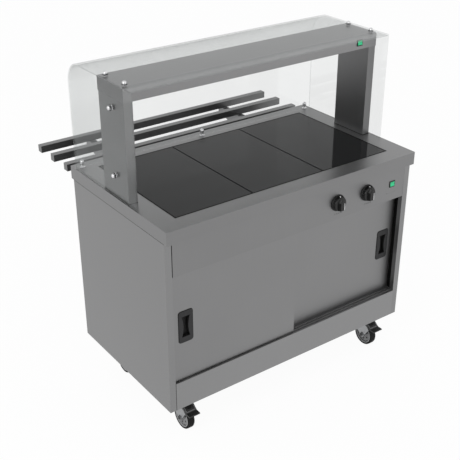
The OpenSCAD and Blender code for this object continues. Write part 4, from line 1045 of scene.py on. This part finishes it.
def make_lamps():
    """Quartz tubes with ceramic ends and a coiled filament."""
    low, high = corners("quartz_lamps")
    y, z = (low.y + high.y) / 2, (low.z + high.z) / 2
    length = high.x - LAMP_GAP
    glass = bmesh.new()
    caps = bmesh.new()
    for name, side in (("filament_left", -1), ("filament_right", 1)):
        start = facing((side * LAMP_GAP, y, z), (side, 0, 0))
        rod(glass, TUBE_R, TUBE_INSET, length - TUBE_INSET, start, FIXING_SIDES)
        rod(glass, BORE_R, BORE_INSET, length - BORE_INSET, start, FIXING_SIDES)
        for end, way in ((0, 1), (length, -1)):
            cap = [(radius, end + way * height) for radius, height in scaled(LAMP_CAP)]
            lathe(caps, cap, start, FIXING_SIDES)
        make_filament(name, side, length, y, z)
    add_piece("lamp_tubes", glass, "quartz", "counter", ["quartz_lamps"])
    add_piece("lamp_ends", caps, "ceramic", "counter")


# Screws, rivets and the bare plate

SCREW = [(0, 2.1), (2.2, 2.0), (3.6, 1.3), (4, 0.5), (4, 0)]
BOLT = [(0, 4), (5.5, 4), (6.5, 3.2), (6.5, 0)]
RIVET = [(0, 1.2), (1.8, 1.0), (2.9, 0.4), (3.1, 0)]
FLANGE_SCREW_IN = 9 * MM
FLANGE_SCREW_LOW, FLANGE_SCREW_HIGH = mm(40, 60)
SILL_SCREWS_A_SIDE = 4
SILL_SCREW_STEP = 125 * MM
SILL_SCREW_RISE = 12 * MM
BRACKET_X = 337 * MM
BRACKET_PLATE = 3 * MM
BOLT_ASIDE = 21 * MM
BOLT_RISES = mm(12, 112)
RIVETS_A_SIDE = 3
RIVET_STEP = 120 * MM
RIVET_FRONT, RIVET_REAR = mm(40, 20)
PLATE_LOW = Vector(mm(250, 0, 205))
PLATE_HIGH = Vector(mm(340, 0, 255))
PLATE_THICK = 0.6 * MM
PLATE_ROUND = 0.25 * MM
PLATE_RIVET = [(0, 1.5), (1.4, 1.2), (2, 0.6)]
PLATE_RIVET_IN = 4 * MM
PLATE_RIVET_SIDES = 12


def make_screws():
    """Pan-head screws in the back, bolts in the brackets and rivets under the base."""
    screws = bmesh.new()
    flange = corners("left_side_panel")[1].y
    middle = (BACK_LOW.z + BACK_HIGH.z) / 2
    for z in (BACK_LOW.z + FLANGE_SCREW_LOW, middle, BACK_HIGH.z - FLANGE_SCREW_HIGH):
        for side in (-1, 1):
            place = (side * (BACK_HIGH.x - FLANGE_SCREW_IN), flange, z)
            lathe(screws, scaled(SCREW), facing(place, (0, 1, 0)), SCREW_SIDES)
    for i in range(-SILL_SCREWS_A_SIDE, SILL_SCREWS_A_SIDE + 1):
        if i:
            place = (i * SILL_SCREW_STEP, BACK_HIGH.y, BACK_LOW.z + SILL_SCREW_RISE)
            lathe(screws, scaled(SCREW), facing(place, (0, 1, 0)), SCREW_SIDES)
    bracket_z = corners("tray_brackets")[0].z
    for side in (-1, 1):
        for aside in (-1, 1):
            for rise in BOLT_RISES:
                x = side * BRACKET_X + aside * BOLT_ASIDE
                place = (x, BACK_HIGH.y + BRACKET_PLATE, bracket_z + rise)
                lathe(screws, scaled(BOLT), facing(place, (0, 1, 0)), HEX)
    add_piece("panel_screws", screws, "zinc", "counter")
    rivets = bmesh.new()
    low, high = corners("base_pan")
    for i in range(-RIVETS_A_SIDE, RIVETS_A_SIDE + 1):
        for y in (low.y + RIVET_FRONT, high.y - RIVET_REAR):
            lathe(rivets, scaled(RIVET), facing((i * RIVET_STEP, y, low.z), (0, 0, -1)), STUD_SIDES)
    add_piece("pan_rivets", rivets, "zinc", "counter")


def make_blank_plate():
    """Bare plate on the back, beside the mains gland, with a rivet at each corner."""
    y = BACK_HIGH.y
    bm = bmesh.new()
    block(bm, (PLATE_LOW.x, y, PLATE_LOW.z), (PLATE_HIGH.x, y + PLATE_THICK, PLATE_HIGH.z), PLATE_ROUND)
    for z in (PLATE_LOW.z + PLATE_RIVET_IN, PLATE_HIGH.z - PLATE_RIVET_IN):
        for x in (PLATE_LOW.x + PLATE_RIVET_IN, PLATE_HIGH.x - PLATE_RIVET_IN):
            lathe(bm, scaled(PLATE_RIVET), facing((x, y, z), (0, 1, 0)), PLATE_RIVET_SIDES)
    add_piece("blank_plate", bm, "plate", "counter")


# All pieces, in the order in which they are made

make_screen()
make_end_panes()
make_beads()
make_front_joints()
make_fixings()
make_posts()
for knob_name in ("hot_top_knob", "cupboard_knob"):
    make_knob(knob_name)
for printed in SCALES:
    print_scale(**printed)
for door_side in SIDES:
    make_pull_trim(door_side)
for castor_place in CASTORS:
    make_wheel(castor_place)
    make_axle_nuts(castor_place)
for castor_place in BRAKED:
    make_pedal_trim(castor_place)
make_lamps()
make_screws()
make_blank_plate()
make_gantry_feet()

# Rounded edges of the nodes, by the width of the rounding in millimetres
EDGE_NODES = {
    1.5: ["tray_rails"],
    1.2: ["worktop", "canopy"] + each("upright", SIDES) + each("door", SIDES),
    0.8: ["tray_brackets"] + each("side_panel", SIDES) + each("pedal", BRAKED),
    0.7: each("door_pull", SIDES),
    0.6: ["control_fascia", "front_plinth"],
    0.5: ["castor_plates", "fascia_rocker", "gantry_rocker", "shelf"] + each("fork", CASTORS) + HOT_TILES,
    0.4: ["back_panel", "switch_bodies"],
}
for width, names in EDGE_NODES.items():
    for node in names:
        round_edges(nodes[node], width * MM)
